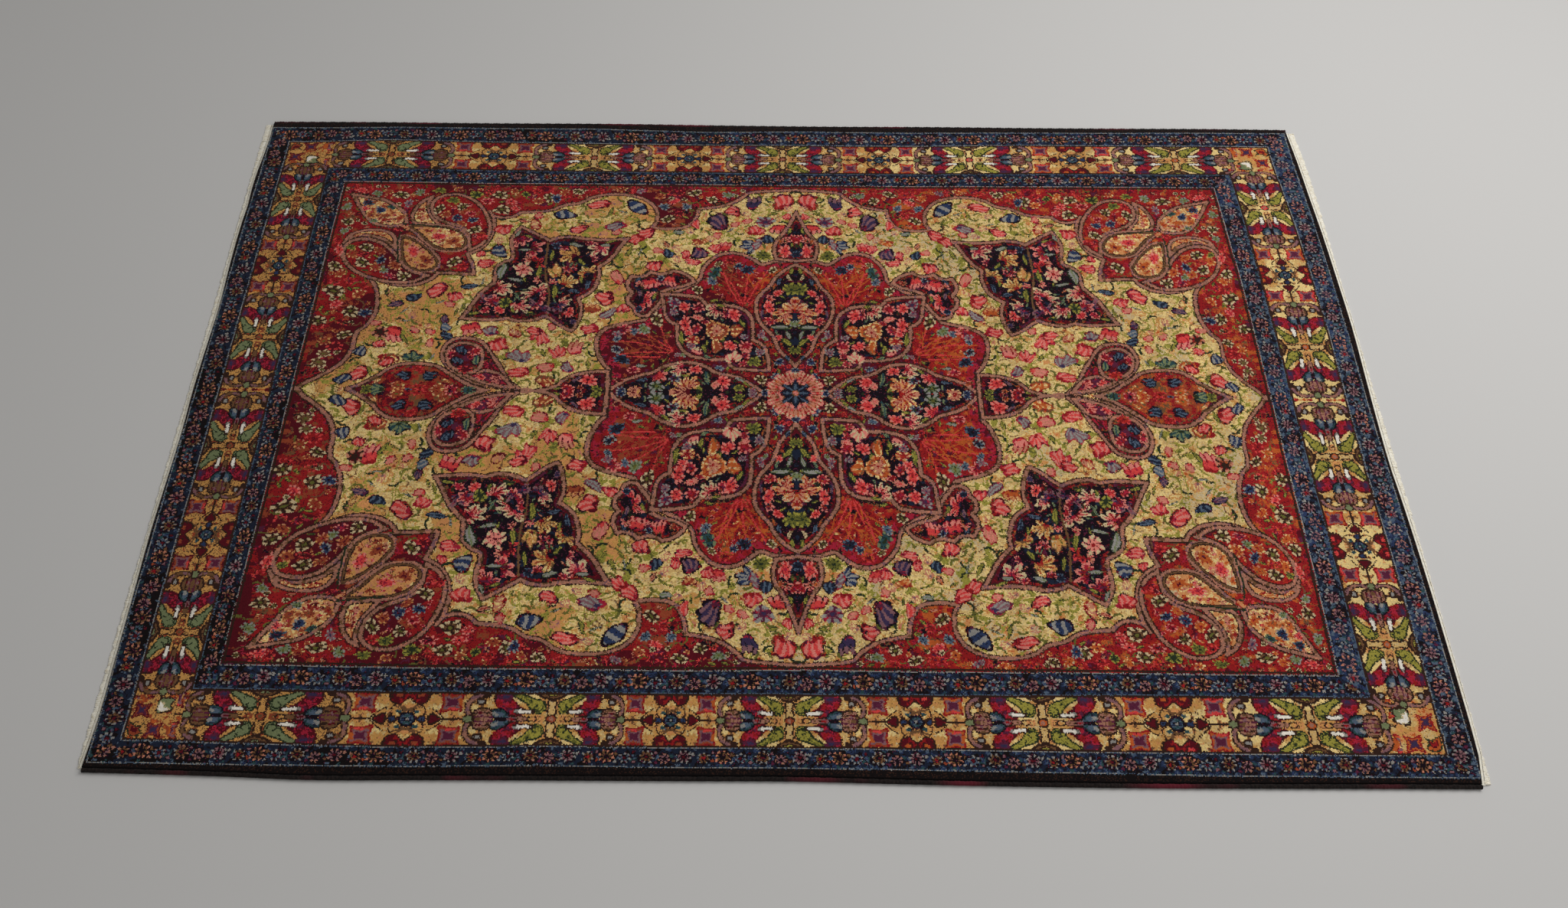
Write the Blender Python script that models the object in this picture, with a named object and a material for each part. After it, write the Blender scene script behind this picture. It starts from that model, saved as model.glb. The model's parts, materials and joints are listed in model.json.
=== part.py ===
"""A hand-knotted Persian rug lying flat: its cloth, two overcast edge cords and two end fringes.

Frame: +X along the rug's length, +Y across it, +Z up. The origin is in the middle of the underside.
"""

import math
from collections import namedtuple

import bmesh
import bpy

MM = 0.001  # every size below is in millimetres

# Cloth: the cotton foundation and the clipped wool pile together, one flat slab.
CLOTH_THICKNESS = 8.0
CLIPPED_RIM = 1.5

# Cord: the last warps of each long side, overcast with dark wool into one round, flat-footed edge.
CORD_WIDTH = 7.2
CORD_HEIGHT = 7.0
CORD_FACETS = 10

# Fringe: a narrow flat-woven strip at each end, and the warp ends that leave it in strands.
STRIP_WIDTH = 4.0
STRIP_HEIGHT = 2.2
STRANDS_PER_STEP = 5
ROOT_SHARE = 0.7
TIP_SHARE = 0.55
TIP_SWAY = 1.5
TIP_RAGGED = 1.6

# Pieces that are sewn together stay this far apart.
PIECE_GAP = 0.3

# The rug's edges are drawn in this many straight steps.
SIDE_STEPS = 40
END_STEPS = 30

# The cloth's long edges, as uneven as they lie: place along the rug, and distance of the edge from
# its middle line.
SideRow = namedtuple("SideRow", "place edge")
FRONT_SIDE = [
    SideRow(-1000.0, 678.5),
    SideRow(-800.0, 682.5),
    SideRow(-680.0, 686.5),
    SideRow(-550.0, 685.0),
    SideRow(-400.0, 683.5),
    SideRow(-100.0, 681.5),
    SideRow(0.0, 680.5),
    SideRow(150.0, 682.5),
    SideRow(250.0, 684.0),
    SideRow(500.0, 685.0),
    SideRow(700.0, 683.5),
    SideRow(900.0, 681.5),
    SideRow(990.0, 681.0),
]
BACK_SIDE = [
    SideRow(-990.0, 683.0),
    SideRow(-800.0, 684.5),
    SideRow(-600.0, 684.0),
    SideRow(-330.0, 685.5),
    SideRow(-100.0, 683.5),
    SideRow(100.0, 683.0),
    SideRow(300.0, 684.5),
    SideRow(500.0, 684.0),
    SideRow(700.0, 685.0),
    SideRow(850.0, 686.0),
    SideRow(990.0, 685.0),
]

# The cloth's short edges and the reach of their fringes: place across the rug, and distance of the
# cloth's edge and of the strands' tips from its middle line.
EndRow = namedtuple("EndRow", "place edge tips")
LEFT_END = [
    EndRow(-675.0, 1008.0, 1017.5),
    EndRow(-600.0, 1004.0, 1018.5),
    EndRow(-500.0, 1005.0, 1018.0),
    EndRow(-400.0, 1006.0, 1018.5),
    EndRow(-280.0, 1008.0, 1017.5),
    EndRow(-150.0, 1006.0, 1018.0),
    EndRow(-70.0, 1005.0, 1018.0),
    EndRow(0.0, 1007.0, 1017.5),
    EndRow(100.0, 1006.0, 1018.0),
    EndRow(200.0, 1004.0, 1018.0),
    EndRow(300.0, 1007.0, 1018.5),
    EndRow(400.0, 1008.0, 1019.0),
    EndRow(460.0, 1006.0, 1019.0),
    EndRow(520.0, 1008.0, 1019.5),
    EndRow(620.0, 1002.0, 1019.5),
    EndRow(680.0, 1002.0, 1019.0),
]
RIGHT_END = [
    EndRow(-678.0, 996.0, 1013.0),
    EndRow(-640.0, 1003.0, 1013.5),
    EndRow(-580.0, 1005.0, 1014.5),
    EndRow(-400.0, 1006.5, 1015.5),
    EndRow(-300.0, 1006.0, 1016.5),
    EndRow(-200.0, 1004.5, 1017.5),
    EndRow(-120.0, 1002.0, 1017.5),
    EndRow(0.0, 1004.0, 1017.5),
    EndRow(100.0, 1007.0, 1017.5),
    EndRow(180.0, 1009.0, 1018.0),
    EndRow(300.0, 1008.0, 1018.5),
    EndRow(400.0, 1006.5, 1019.0),
    EndRow(500.0, 1003.0, 1019.5),
    EndRow(600.0, 1000.0, 1018.0),
    EndRow(682.0, 995.0, 1013.0),
]

WOOL_PILE = ("wool_pile", (0.32, 0.15, 0.10), 0.95)
WOOL_CORD = ("wool_cord", (0.030, 0.022, 0.020), 0.92)
COTTON = ("cotton_fringe", (0.74, 0.70, 0.61), 0.9)


def read_curve(rows, place, column):
    """Read a column between its rows, on a smooth curve that passes through every row."""
    places = [row.place for row in rows]
    values = [getattr(row, column) for row in rows]
    if place <= places[0]:
        return values[0]
    if place >= places[-1]:
        return values[-1]
    after = next(i for i, known in enumerate(places) if known >= place)
    before = after - 1
    span = places[after] - places[before]

    def slope(index):
        low, high = max(index - 1, 0), min(index + 1, len(rows) - 1)
        return (values[high] - values[low]) / (places[high] - places[low])

    t = (place - places[before]) / span
    return (
        values[before] * (2 * t**3 - 3 * t**2 + 1)
        + values[after] * (3 * t**2 - 2 * t**3)
        + slope(before) * span * (t**3 - 2 * t**2 + t)
        + slope(after) * span * (t**3 - t**2)
    )


def even_steps(start, end, steps):
    return [start + (end - start) * i / steps for i in range(steps + 1)]


def side_line(rows, facing):
    """Follow a long edge of the cloth from left to right. Facing is -1 in front and 1 behind."""
    corner = facing * rows[0].edge
    left = -read_curve(LEFT_END, corner, "edge")
    right = read_curve(RIGHT_END, facing * rows[-1].edge, "edge")
    return [(x, facing * read_curve(rows, x, "edge")) for x in even_steps(left, right, SIDE_STEPS)]


def end_line(rows, facing):
    """Follow a short edge of the cloth from front to back. Facing is -1 at the left, 1 at the right."""
    index = 0 if facing < 0 else -1
    front, back = -FRONT_SIDE[index].edge, BACK_SIDE[index].edge
    return [(facing * read_curve(rows, y, "edge"), y) for y in even_steps(front, back, END_STEPS)]


def make_object(name, mesh_tool, finish, parent):
    """Turn a finished bmesh into a named object with its own material."""
    bmesh.ops.recalc_face_normals(mesh_tool, faces=mesh_tool.faces)
    mesh = bpy.data.meshes.new(name)
    mesh_tool.to_mesh(mesh)
    mesh_tool.free()
    material_name, colour, roughness = finish
    material = bpy.data.materials.new(f"{name}_{material_name}")
    material.use_nodes = True
    shader = material.node_tree.nodes["Principled BSDF"]
    shader.inputs["Base Color"].default_value = (*colour, 1.0)
    shader.inputs["Roughness"].default_value = roughness
    shader.inputs["Metallic"].default_value = 0.0
    mesh.materials.append(material)
    piece = bpy.data.objects.new(name, mesh)
    piece.parent = parent
    bpy.context.scene.collection.objects.link(piece)


def add_ring(mesh_tool, points):
    return [mesh_tool.verts.new((x * MM, y * MM, z * MM)) for x, y, z in points]


def bridge_rings(mesh_tool, rings):
    """Skin a row of rings and close both ends. Return the skin's faces, one list for each step."""
    steps = []
    for ring, following in zip(rings, rings[1:]):
        corners = zip(ring, ring[1:] + ring[:1], following[1:] + following[:1], following)
        steps.append([mesh_tool.faces.new(four) for four in corners])
    mesh_tool.faces.new(rings[0])
    mesh_tool.faces.new(rings[-1])
    return steps


def build_cloth(parent):
    """The cloth: its outline raised to the pile's height, with the rim clipped back."""
    front, back = side_line(FRONT_SIDE, -1), side_line(BACK_SIDE, 1)
    left, right = end_line(LEFT_END, -1), end_line(RIGHT_END, 1)
    outline = front[:-1] + right[:-1] + back[:0:-1] + left[:0:-1]
    cloth = bmesh.new()
    underside = cloth.faces.new(add_ring(cloth, [(x, y, 0.0) for x, y in outline]))
    raised = bmesh.ops.extrude_face_region(cloth, geom=[underside])["geom"]
    raised_points = [item for item in raised if isinstance(item, bmesh.types.BMVert)]
    height = (CLOTH_THICKNESS - CLIPPED_RIM) * MM
    bmesh.ops.translate(cloth, verts=raised_points, vec=(0.0, 0.0, height))
    pile = [item for item in raised if isinstance(item, bmesh.types.BMFace)]
    bmesh.ops.recalc_face_normals(cloth, faces=cloth.faces)
    bmesh.ops.inset_region(cloth, faces=pile, thickness=CLIPPED_RIM * MM, depth=CLIPPED_RIM * MM)
    make_object("rug_cloth", cloth, WOOL_PILE, parent)


def build_cord(name, rows, facing, parent):
    """An edge cord: one round section, flat where it lies on the floor, along a long edge."""
    half_width, half_height = CORD_WIDTH / 2, CORD_HEIGHT / 2
    flat_top = math.cos(math.pi / CORD_FACETS)
    angles = [2 * math.pi * i / CORD_FACETS for i in range(CORD_FACETS)]
    section = [(half_width * math.cos(a), half_height * (1 + math.sin(a) / flat_top)) for a in angles]
    offset = PIECE_GAP + half_width
    cord = bmesh.new()
    rings = [
        add_ring(cord, [(x, y + facing * (offset + across), z) for across, z in section])
        for x, y in side_line(rows, facing)
    ]
    bridge_rings(cord, rings)
    make_object(name, cord, WOOL_CORD, parent)


def strand_places(line):
    """Split an end line at both sides of every strand's root: (x, y), strand and gap in turn."""
    places = []
    for (x0, y0), (x1, y1) in zip(line, line[1:]):
        for strand in range(STRANDS_PER_STEP):
            for share in (strand, strand + ROOT_SHARE):
                t = share / STRANDS_PER_STEP
                places.append((x0 + (x1 - x0) * t, y0 + (y1 - y0) * t))
    return places


def build_fringe(name, rows, facing, parent):
    """A fringe: the flat-woven strip, with every other outer face drawn out into a flat strand."""
    inner = facing * PIECE_GAP
    outer = facing * (PIECE_GAP + STRIP_WIDTH)
    section = [(inner, 0.0), (outer, 0.0), (outer, STRIP_HEIGHT), (inner, STRIP_HEIGHT)]
    outer_side = 1
    fringe = bmesh.new()
    rings = [
        add_ring(fringe, [(x + out, y, z) for out, z in section])
        for x, y in strand_places(end_line(rows, facing))
    ]
    steps = bridge_rings(fringe, rings)
    bmesh.ops.recalc_face_normals(fringe, faces=fringe.faces)
    roots = [step[outer_side] for step in steps[::2]]
    tips = bmesh.ops.extrude_discrete_faces(fringe, faces=roots)["faces"]
    for strand, tip in enumerate(tips):
        place = tip.calc_center_median().y / MM
        sway = TIP_SWAY * math.sin(2.4 * strand)
        shorter = TIP_RAGGED * (0.5 + 0.5 * math.sin(3.9 * strand + 1.0))
        reach = read_curve(rows, place, "tips") - shorter
        for corner in tip.verts:
            from_middle = corner.co.y / MM - place
            corner.co.x = facing * reach * MM
            corner.co.y = (place + sway + from_middle * TIP_SHARE) * MM
            corner.co.z *= TIP_SHARE
    make_object(name, fringe, COTTON, parent)


def build_rug():
    rug = bpy.data.objects.new("rug", None)
    bpy.context.scene.collection.objects.link(rug)
    build_cloth(rug)
    build_cord("edge_cord_front", FRONT_SIDE, -1, rug)
    build_cord("edge_cord_back", BACK_SIDE, 1, rug)
    build_fringe("fringe_left", LEFT_END, -1, rug)
    build_fringe("fringe_right", RIGHT_END, 1, rug)


for old in list(bpy.data.objects):
    bpy.data.objects.remove(old, do_unlink=True)
build_rug()
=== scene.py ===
# %% [markdown]
# # A Persian rug, laid flat
#
# The object is one hand-knotted wool rug: a knotted cloth with a medallion design, a dark overcast
# cord along each long edge, and at each end a narrow flat-woven strip whose warp ends are the fringe.
# The design is the traditional layout of a medallion, four corner pieces and three border stripes, with
# flowers and leaves of common kinds, laid out on a weaver's chart.
#
# The CAD frame comes first. It already lies in the real place and size, so every new piece is made
# around it. The finished rug must not outgrow it.

# %% load the frame
import json
import math

import bpy
import numpy as np
from mathutils import Matrix, Vector

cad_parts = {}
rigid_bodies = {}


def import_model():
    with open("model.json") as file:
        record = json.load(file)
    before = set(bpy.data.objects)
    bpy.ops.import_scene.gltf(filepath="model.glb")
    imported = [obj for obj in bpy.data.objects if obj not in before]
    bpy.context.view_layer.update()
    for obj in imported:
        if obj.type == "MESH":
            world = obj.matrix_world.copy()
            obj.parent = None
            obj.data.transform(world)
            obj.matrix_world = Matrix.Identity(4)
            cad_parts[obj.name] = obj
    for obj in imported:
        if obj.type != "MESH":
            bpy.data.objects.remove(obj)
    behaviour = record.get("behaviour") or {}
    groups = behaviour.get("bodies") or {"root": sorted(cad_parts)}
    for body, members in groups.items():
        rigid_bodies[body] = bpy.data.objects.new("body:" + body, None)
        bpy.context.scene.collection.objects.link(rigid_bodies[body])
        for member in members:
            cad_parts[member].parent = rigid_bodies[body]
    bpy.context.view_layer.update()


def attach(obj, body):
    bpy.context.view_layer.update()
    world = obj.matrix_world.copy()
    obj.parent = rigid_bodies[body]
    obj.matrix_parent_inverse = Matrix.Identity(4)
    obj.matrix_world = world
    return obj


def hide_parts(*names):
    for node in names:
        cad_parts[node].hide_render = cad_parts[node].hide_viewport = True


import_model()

# %% [markdown]
# ## The outline of the cloth
#
# A rug that was knotted by hand is never a true rectangle. The CAD cloth has the uneven edges of the
# real one, so its underside is read once as four lines: the distance of each edge from the middle.
# Everything that follows the edges, the knots, the cords and the fringes, asks these four lines.

# %% read the four edges
EDGE_WANDER = 0.022  # metres, more than any edge wanders
ON_FLOOR = 0.0001  # metres, a point lower than this lies on the floor


def edge_line(points, axis, facing):
    """Where an edge runs: places along it and its distance from the middle, both in metres, sorted."""
    along, across = points[:, 1 - axis], points[:, axis] * facing
    on_edge = across > np.max(across) - EDGE_WANDER
    order = np.argsort(along[on_edge])
    return along[on_edge][order], across[on_edge][order]


cloth = bpy.data.objects["rug_cloth"].data
corners = np.unique(np.round([tuple(v.co) for v in cloth.vertices], 6), axis=0)
CLOTH_TOP = corners[:, 2].max()
foot = corners[corners[:, 2] < ON_FLOOR][:, :2]
FRONT, BACK = edge_line(foot, 1, -1), edge_line(foot, 1, 1)
LEFT, RIGHT = edge_line(foot, 0, -1), edge_line(foot, 0, 1)
print(f"the cloth is {CLOTH_TOP * 1000:.1f} mm thick, {len(foot)} points on its outline")
print("points on the front, back, left and right edge:", [len(e[0]) for e in (FRONT, BACK, LEFT, RIGHT)])

# %% [markdown]
# ## Dyes and knots
#
# Each tuft of pile is one knot of one dyed wool, and a rug like this has about a million of them. A
# weaver works from squared paper where each square is a knot, so the script does the same: the design
# is drawn on charts whose squares hold the number of a dye. One square here stands for a small group
# of real knots, 1.6 mm across, which is as fine as the motifs need. Colours are given in 0 to 255.

# %% name the dyed wools
KNOT = 1.6  # mm, the pitch of one square of the chart
DYES = {
    "soot": (20, 15, 15),
    "bark": (50, 31, 24),
    "umber": (106, 74, 48),
    "ink": (24, 14, 21),
    "navy": (28, 34, 50),
    "indigo": (42, 54, 84),
    "denim": (76, 90, 106),
    "mist": (138, 134, 128),
    "teal": (42, 68, 70),
    "pine": (38, 46, 30),
    "olive": (96, 94, 42),
    "moss": (147, 138, 59),
    "sage": (112, 120, 84),
    "cream": (194, 172, 132),
    "straw": (224, 194, 127),
    "gold": (198, 162, 102),
    "honey": (192, 140, 77),
    "peach": (200, 136, 84),
    "orange": (176, 84, 38),
    "rust": (142, 64, 40),
    "rosewood": (154, 106, 88),
    "blush": (186, 120, 94),
    "pink": (210, 122, 109),
    "coral": (204, 66, 62),
    "scarlet": (164, 38, 30),
    "brick": (142, 28, 30),
    "garnet": (84, 16, 26),
    "crimson": (160, 34, 54),
    "plum": (86, 32, 54),
    "mauve": (124, 86, 90),
    "violet": (56, 44, 72),
    "chalk": (224, 216, 202),
}
DYE = {name: number for number, name in enumerate(DYES)}
print(len(DYES), "dyed wools")

# %% [markdown]
# ## Squared paper
#
# The outlines of the big figures are smooth curves through a few given points, turned into
# squares. Curve objects and a render of them could also do it, but a chart of plain numbers is exact
# and quick, and every square stays one dye, as in real knots. All places are in millimetres.

# %% a chart, and the squares near a line
class Chart:
    """Squared paper: one square for each knot, holding the number of its dye. Places are in mm."""

    def __init__(self, width, height, ground):
        self.squares = np.full((round(height / KNOT), round(width / KNOT)), DYE[ground], np.uint8)

    def near(self, points, margin):
        """The squares round some points, and the places of their middles."""
        rows, cols = self.squares.shape
        low = np.floor((np.min(points, axis=0) - margin) / KNOT).astype(int)
        high = np.ceil((np.max(points, axis=0) + margin) / KNOT).astype(int)
        x0, x1 = np.clip((low[0], high[0]), 0, cols)
        y0, y1 = np.clip((low[1], high[1]), 0, rows)
        y, x = (np.mgrid[y0:y1, x0:x1] + 0.5) * KNOT
        return self.squares[y0:y1, x0:x1], x, y

# %% smooth lines through given points
def curve(*stretches, steps=6):
    """A smooth line through given points. Each stretch is smooth, with a sharp turn between."""
    line = []
    for stretch in stretches:
        p = np.array(stretch, float)
        if len(p) < 3:
            line.extend(p)
            continue
        q = np.vstack([2 * p[0] - p[1], p, 2 * p[-1] - p[-2]])
        t = np.linspace(0, 1, steps, endpoint=False)[:, None]
        for a, b, c, d in zip(q, q[1:], q[2:], q[3:]):
            line.extend(b + 0.5 * t * (c - a + t * (2 * a - 5 * b + 4 * c - d + t * (3 * (b - c) + d - a))))
        line.append(p[-1])
    return np.array(line)


def places(words):
    """Points that are written as words."""
    return [tuple(map(float, point.split())) for point in words.split(",")]


def outline(words):
    """A curve whose points are written as words, with a semicolon at each sharp turn."""
    return curve(*map(places, words.split(";")))


def mirrored(line, axis):
    """Close a half outline by its mirror image across x = 0 (axis 0) or y = 0 (axis 1)."""
    flip = np.ones(2)
    flip[axis] = -1
    return np.vstack([line, line[::-1] * flip])

# %% inside a closed line, and how far from a line
def inside(line, x, y):
    hit = np.zeros(x.shape, bool)
    for (x0, y0), (x1, y1) in zip(line, np.roll(line, -1, axis=0)):
        if y0 != y1:
            hit ^= ((y0 > y) != (y1 > y)) & (x < x0 + (y - y0) * (x1 - x0) / (y1 - y0))
    return hit


def distance(line, x, y):
    nearest = np.full(x.shape, np.inf)
    for (x0, y0), (x1, y1) in zip(line, line[1:]):
        dx, dy = x1 - x0, y1 - y0
        t = np.clip(((x - x0) * dx + (y - y0) * dy) / (dx * dx + dy * dy + 1e-9), 0, 1)
        nearest = np.minimum(nearest, np.hypot(x - x0 - t * dx, y - y0 - t * dy))
    return nearest

# %% fill a figure, draw a stem, knot a small motif
BAND_MARGIN = 6  # mm, how far round the box of a figure its outer bands may show
LARGE = 50  # mm, larger flowers are drawn with more care


def shape(chart, line, ground, bands=()):
    """Fill a closed line with a ground, then with bands: from which depth, to which depth, dye."""
    squares, x, y = chart.near(line, BAND_MARGIN)
    closed = np.vstack([line, line[:1]])
    depth = distance(closed, x, y) * np.where(inside(line, x, y), 1, -1)
    squares[depth > 0] = DYE[ground]
    for start, end, dye in bands:
        squares[(depth >= start) & (depth < end)] = DYE[dye]


def stroke(chart, line, width, dye, over=None):
    """Draw a line, over everything or only over one ground."""
    squares, x, y = chart.near(line, width)
    drawn = distance(np.asarray(line, float), x, y) < width / 2
    if over is not None:
        drawn &= squares == DYE[over]
    squares[drawn] = DYE[dye]


def motif(chart, form, x, y, length, width, turn, dyes):
    """Draw a small form of a few dyes. Its formula takes u, along it, and v, across, from -1 to 1.

    No two flowers on a rug are alike, so each is bent a little, by an amount that its place gives.
    """
    size = max(length, width)
    squares, px, py = chart.near(np.array([(x, y)]), size / 2 * 1.3)
    c, s = np.cos(np.radians(turn)), np.sin(np.radians(turn))
    u = ((px - x) * c + (py - y) * s) / (length / 2)
    v = ((py - y) * c - (px - x) * s) / (width / 2)
    bend = 0.04 if size > LARGE else 0.16 * min(size / 20, 1)
    habit = x * 0.71 + y * 1.37
    drawn = form(u + bend * np.sin(2.6 * v + habit), v + bend * np.sin(3.1 * u + 2 * habit))
    for number, dye in enumerate(dyes):
        squares[drawn == number] = DYE[dye]

# %% [markdown]
# ## Small flowers and leaves
#
# The rug's flowers are of a few common kinds: round ones with lobed petals, daisies, peonies, tulips,
# lilies, palmettes, barrel flowers, leaves and buds. Each kind is one short formula that says which of
# its wools, from 0 to 3, a knot takes, or -1 where nothing is drawn. It is drawn at any size and turn,
# as a weaver repeats it.

# %% round flowers
def rose(u, v):
    """Open flower of seven petals with gaps between them: gaps, petal tips, petals, heart."""
    r, a = np.hypot(u, v), np.arctan2(v, u)
    petal = np.abs(np.cos(3.5 * a))
    gap = (petal < 0.34) & (r > 0.34)
    tip = (r > 0.62) & (petal > 0.72)
    return np.select([r > 0.72 + 0.28 * petal, gap, r < 0.22, tip], [-1, 0, 3, 1], 2)


def rosette(u, v):
    """Round flower of fourteen short petals: lines, tips, petals, heart."""
    r, petal = np.hypot(u, v), np.abs(np.cos(7 * np.arctan2(v, u)))
    line = ((petal < 0.4) & (r > 0.55)) | (np.abs(r - 0.55) < 0.05)
    return np.select([r > 0.88 + 0.12 * petal, line, r < 0.5, r > 0.8], [-1, 0, 3, 1], 2)


def daisy(u, v):
    """Small flower of six petals on a dark eye: gaps, petals, petal feet, heart."""
    r, a = np.hypot(u, v), np.arctan2(v, u)
    petal = (np.cos(6 * a) > -0.3) & (r > 0.4)
    return np.select([r > 1, r < 0.24, petal & (r > 0.62), petal], [-1, 3, 1, 2], 0)

# %% flowers seen from the side
def peony(u, v):
    """Full oval blossom, its foot at -u: edge, light streaks that fan out, petals, foot."""
    r, a = np.hypot(u, v), np.arctan2(v, u + 1.25)
    edge = 0.86 + 0.14 * np.abs(np.cos(a * 7.5))
    foot = np.hypot(u + 0.6, v) < 0.3
    return np.select([r > edge, r > edge - 0.2, foot, np.cos(a * 16) > 0.1], [-1, 0, 3, 1], 2)


def tulip(u, v):
    """Tulip of three petals that opens toward +u: petal lines, light tips, petals, foot."""
    r, top = np.hypot(np.minimum(u, 0), v), 0.64 + 0.36 * np.abs(np.cos(1.5 * math.pi * v))
    line = (r > 0.84) | (u > top - 0.16) | ((np.abs(np.abs(v) - 0.36) < 0.09) & (u > -0.2))
    return np.select([(r > 1) | (u > top), line, u < -0.6, u > 0.15], [-1, 0, 3, 1], 2)


def lily(u, v):
    """Blossom of five long petals, half open toward +u: shadows, tips, petals, foot and ribs."""
    r, a = np.hypot(u + 0.9, v) / 1.9, np.arctan2(v, u + 0.9)
    petal = np.abs(np.cos(a * 3.6))
    top = 0.55 + 0.45 * petal ** 1.2
    shadow = (petal < 0.42) & (r > 0.22)
    foot_or_rib = (r < 0.24) | ((petal > 0.97) & (r < top - 0.2))
    return np.select([(r > top) | (np.abs(a) > 1.9), shadow, foot_or_rib, r > top - 0.3], [-1, 0, 3, 1], 2)


def fan(u, v):
    """Palmette, its foot at -u and its rays spread toward +u: edge, rays, between rays, foot."""
    r, a = np.hypot(u + 0.9, v * 0.9) / 1.8, np.arctan2(v * 0.9, u + 0.9)
    r = r / (0.9 + 0.1 * np.cos(9 * a)) + np.maximum(np.abs(a) - 0.9, 0) * 1.5
    return np.select([(r > 1) | (u < -1), r > 0.88, r < 0.28, np.cos(13 * a) > 0], [-1, 0, 3, 1], 2)


def bell(u, v):
    """Barrel flower with stripes across it: edge, light stripes, dark stripes."""
    edge = np.hypot(u, v * (1.05 - 0.15 * np.cos(3 * u)))
    return np.select([edge > 1, edge > 0.8, np.sin(9 * u + 1.2 * v) > 0.2], [-1, 0, 1], 2)

# %% leaves, buds and dots
def leaf(u, v):
    """Pointed leaf: edge, blade, rib."""
    edge = np.abs(v) / np.maximum(1 - u * u, 0.001)
    return np.select([(np.abs(u) > 1) | (edge > 1), edge > 0.6, np.abs(v) < 0.16], [-1, 0, 2], 1)


def bud(u, v):
    """Drop, pointed at +u: edge, skin, flesh."""
    w = np.sqrt(np.maximum((1 - u) * (1 + u), 0)) * np.where(u > -0.2, 1 - 0.5 * (u + 0.2), 1)
    edge, end = np.abs(v) / np.maximum(w, 0.001), np.abs(u)
    return np.select([(end > 1) | (edge > 1), (edge > 0.72) | (end > 0.88), edge > 0.4], [-1, 0, 1], 2)


def disc(u, v):
    return np.where(np.hypot(u, v) < 1, 0, -1)


KINDS = {form.__name__: form for form in (rose, rosette, daisy, peony, tulip, lily, fan, bell, leaf, bud)}

# %% the sets of wools that flowers are knotted in
WOOLS = {  # lines and shadows, light parts, petals, heart
    "coral": "crimson pink coral crimson",
    "rosy": "garnet pink coral crimson",
    "pale": "crimson blush pink coral",
    "faded": "blush straw blush mauve",
    "blossom": "garnet cream pink crimson",
    "petal": "garnet pink blush crimson",
    "berry": "garnet pink crimson plum",
    "flame": "brick coral scarlet garnet",
    "amber": "rust peach orange brick",
    "peach": "brick peach blush scarlet",
    "tan": "umber gold honey rust",
    "mauve": "plum mist mauve violet",
    "violet": "ink mauve violet plum",
    "navy": "ink denim navy ink",
    "slate": "ink mist indigo ink",
    "sky": "ink mist denim navy",
    "cream": "bark cream umber olive",
    "fern": "pine moss olive pine",
    "sage": "pine mist sage olive",
    "teal": "ink sage teal pine",
    "wood": "bark blush rust bark",
}
WOOLS = {name: dyes.split() for name, dyes in WOOLS.items()}


def flowers(rows):
    """Flowers written as words: kind, place along and across, length, width, turn, set of wools."""
    for row in rows.split(","):
        kind, *numbers, wool = row.split()
        yield KINDS[kind], *map(int, numbers), wool


def plant(chart, rows):
    """Draw flowers that are written as words."""
    count = 0
    for form, x, y, length, width, turn, wool in flowers(rows):
        motif(chart, form, x, y, length, width, turn, WOOLS[wool])
        count += 1
    print(count, "flowers and leaves")


print(len(KINDS), "kinds of flowers and leaves,", len(WOOLS), "sets of wools")

# %% the bands that outline a figure
BAND = ((-4.0, -1.8, "bark"), (-1.8, 4.0, "rosewood"), (4.0, 6.2, "bark"))
DEEP_BAND = BAND + ((6.2, 11.0, "garnet"),)
WARM_BAND = BAND + ((6.2, 20.0, "crimson"),)
RUST_BAND = BAND + ((6.2, 12.0, "brick"),)
RING = ((-11.0, -9.4, "bark"), (-9.4, -4.6, "rosewood"), (-4.6, -3.2, "bark"), (-3.2, -0.6, "umber"),
        (-0.6, 1.4, "bark"))

# %% [markdown]
# ## Broken grounds
#
# No ground on the rug is one plain colour. The wool was dyed in small lots, the dyes run into each
# other, and tiny flowers fill what the large figures leave. Soft random clouds, cut into shares, give
# each ground its mix of dyes. The random numbers have a seed, so the rug is the same on every run.

# %% mottle a ground
def clouds(rows, cols, size, seed):
    """Soft random patches about size mm across, with values from 0 to 1."""
    y, x = np.mgrid[0:rows, 0:cols] * KNOT / size
    j, i = y.astype(int), x.astype(int)
    corner = np.random.default_rng(seed).random((j.max() + 2, i.max() + 2))
    fy, fx = (y - j) ** 2 * (3 - 2 * (y - j)), (x - i) ** 2 * (3 - 2 * (x - i))
    near_side = corner[j, i] * (1 - fx) + corner[j, i + 1] * fx
    far_side = corner[j + 1, i] * (1 - fx) + corner[j + 1, i + 1] * fx
    return near_side * (1 - fy) + far_side * fy


def mottle(chart, ground, size, seed, mix):
    """Break a ground into a mix of dyes, each with its share, in soft patches with ragged edges."""
    rows, cols = chart.squares.shape
    value = clouds(rows, cols, size, seed) + 0.6 * clouds(rows, cols, size * 0.4, seed + 1)
    value += 0.14 * np.random.default_rng(seed + 2).random((rows, cols))
    here = chart.squares == DYE[ground]
    names, shares = zip(*(part.split() for part in mix.split(",")))
    shares = np.array(shares, int)
    cuts = np.quantile(value[here], np.cumsum(shares)[:-1] / sum(shares))
    numbers = np.array([DYE[name] for name in names])
    chart.squares[here] = numbers[np.searchsorted(cuts, value[here])]

# %% small flowers strewn on a bare ground
def lattice(chart, pitch, seed):
    """The points of a lattice over a chart, row by row, with four random numbers for each."""
    rows, cols = chart.squares.shape
    rng = np.random.default_rng(seed)
    for j in range(int(rows * KNOT / pitch) + 1):
        for i in range(int(cols * KNOT / pitch) + 1):
            yield i, j, *rng.random(4)


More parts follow.
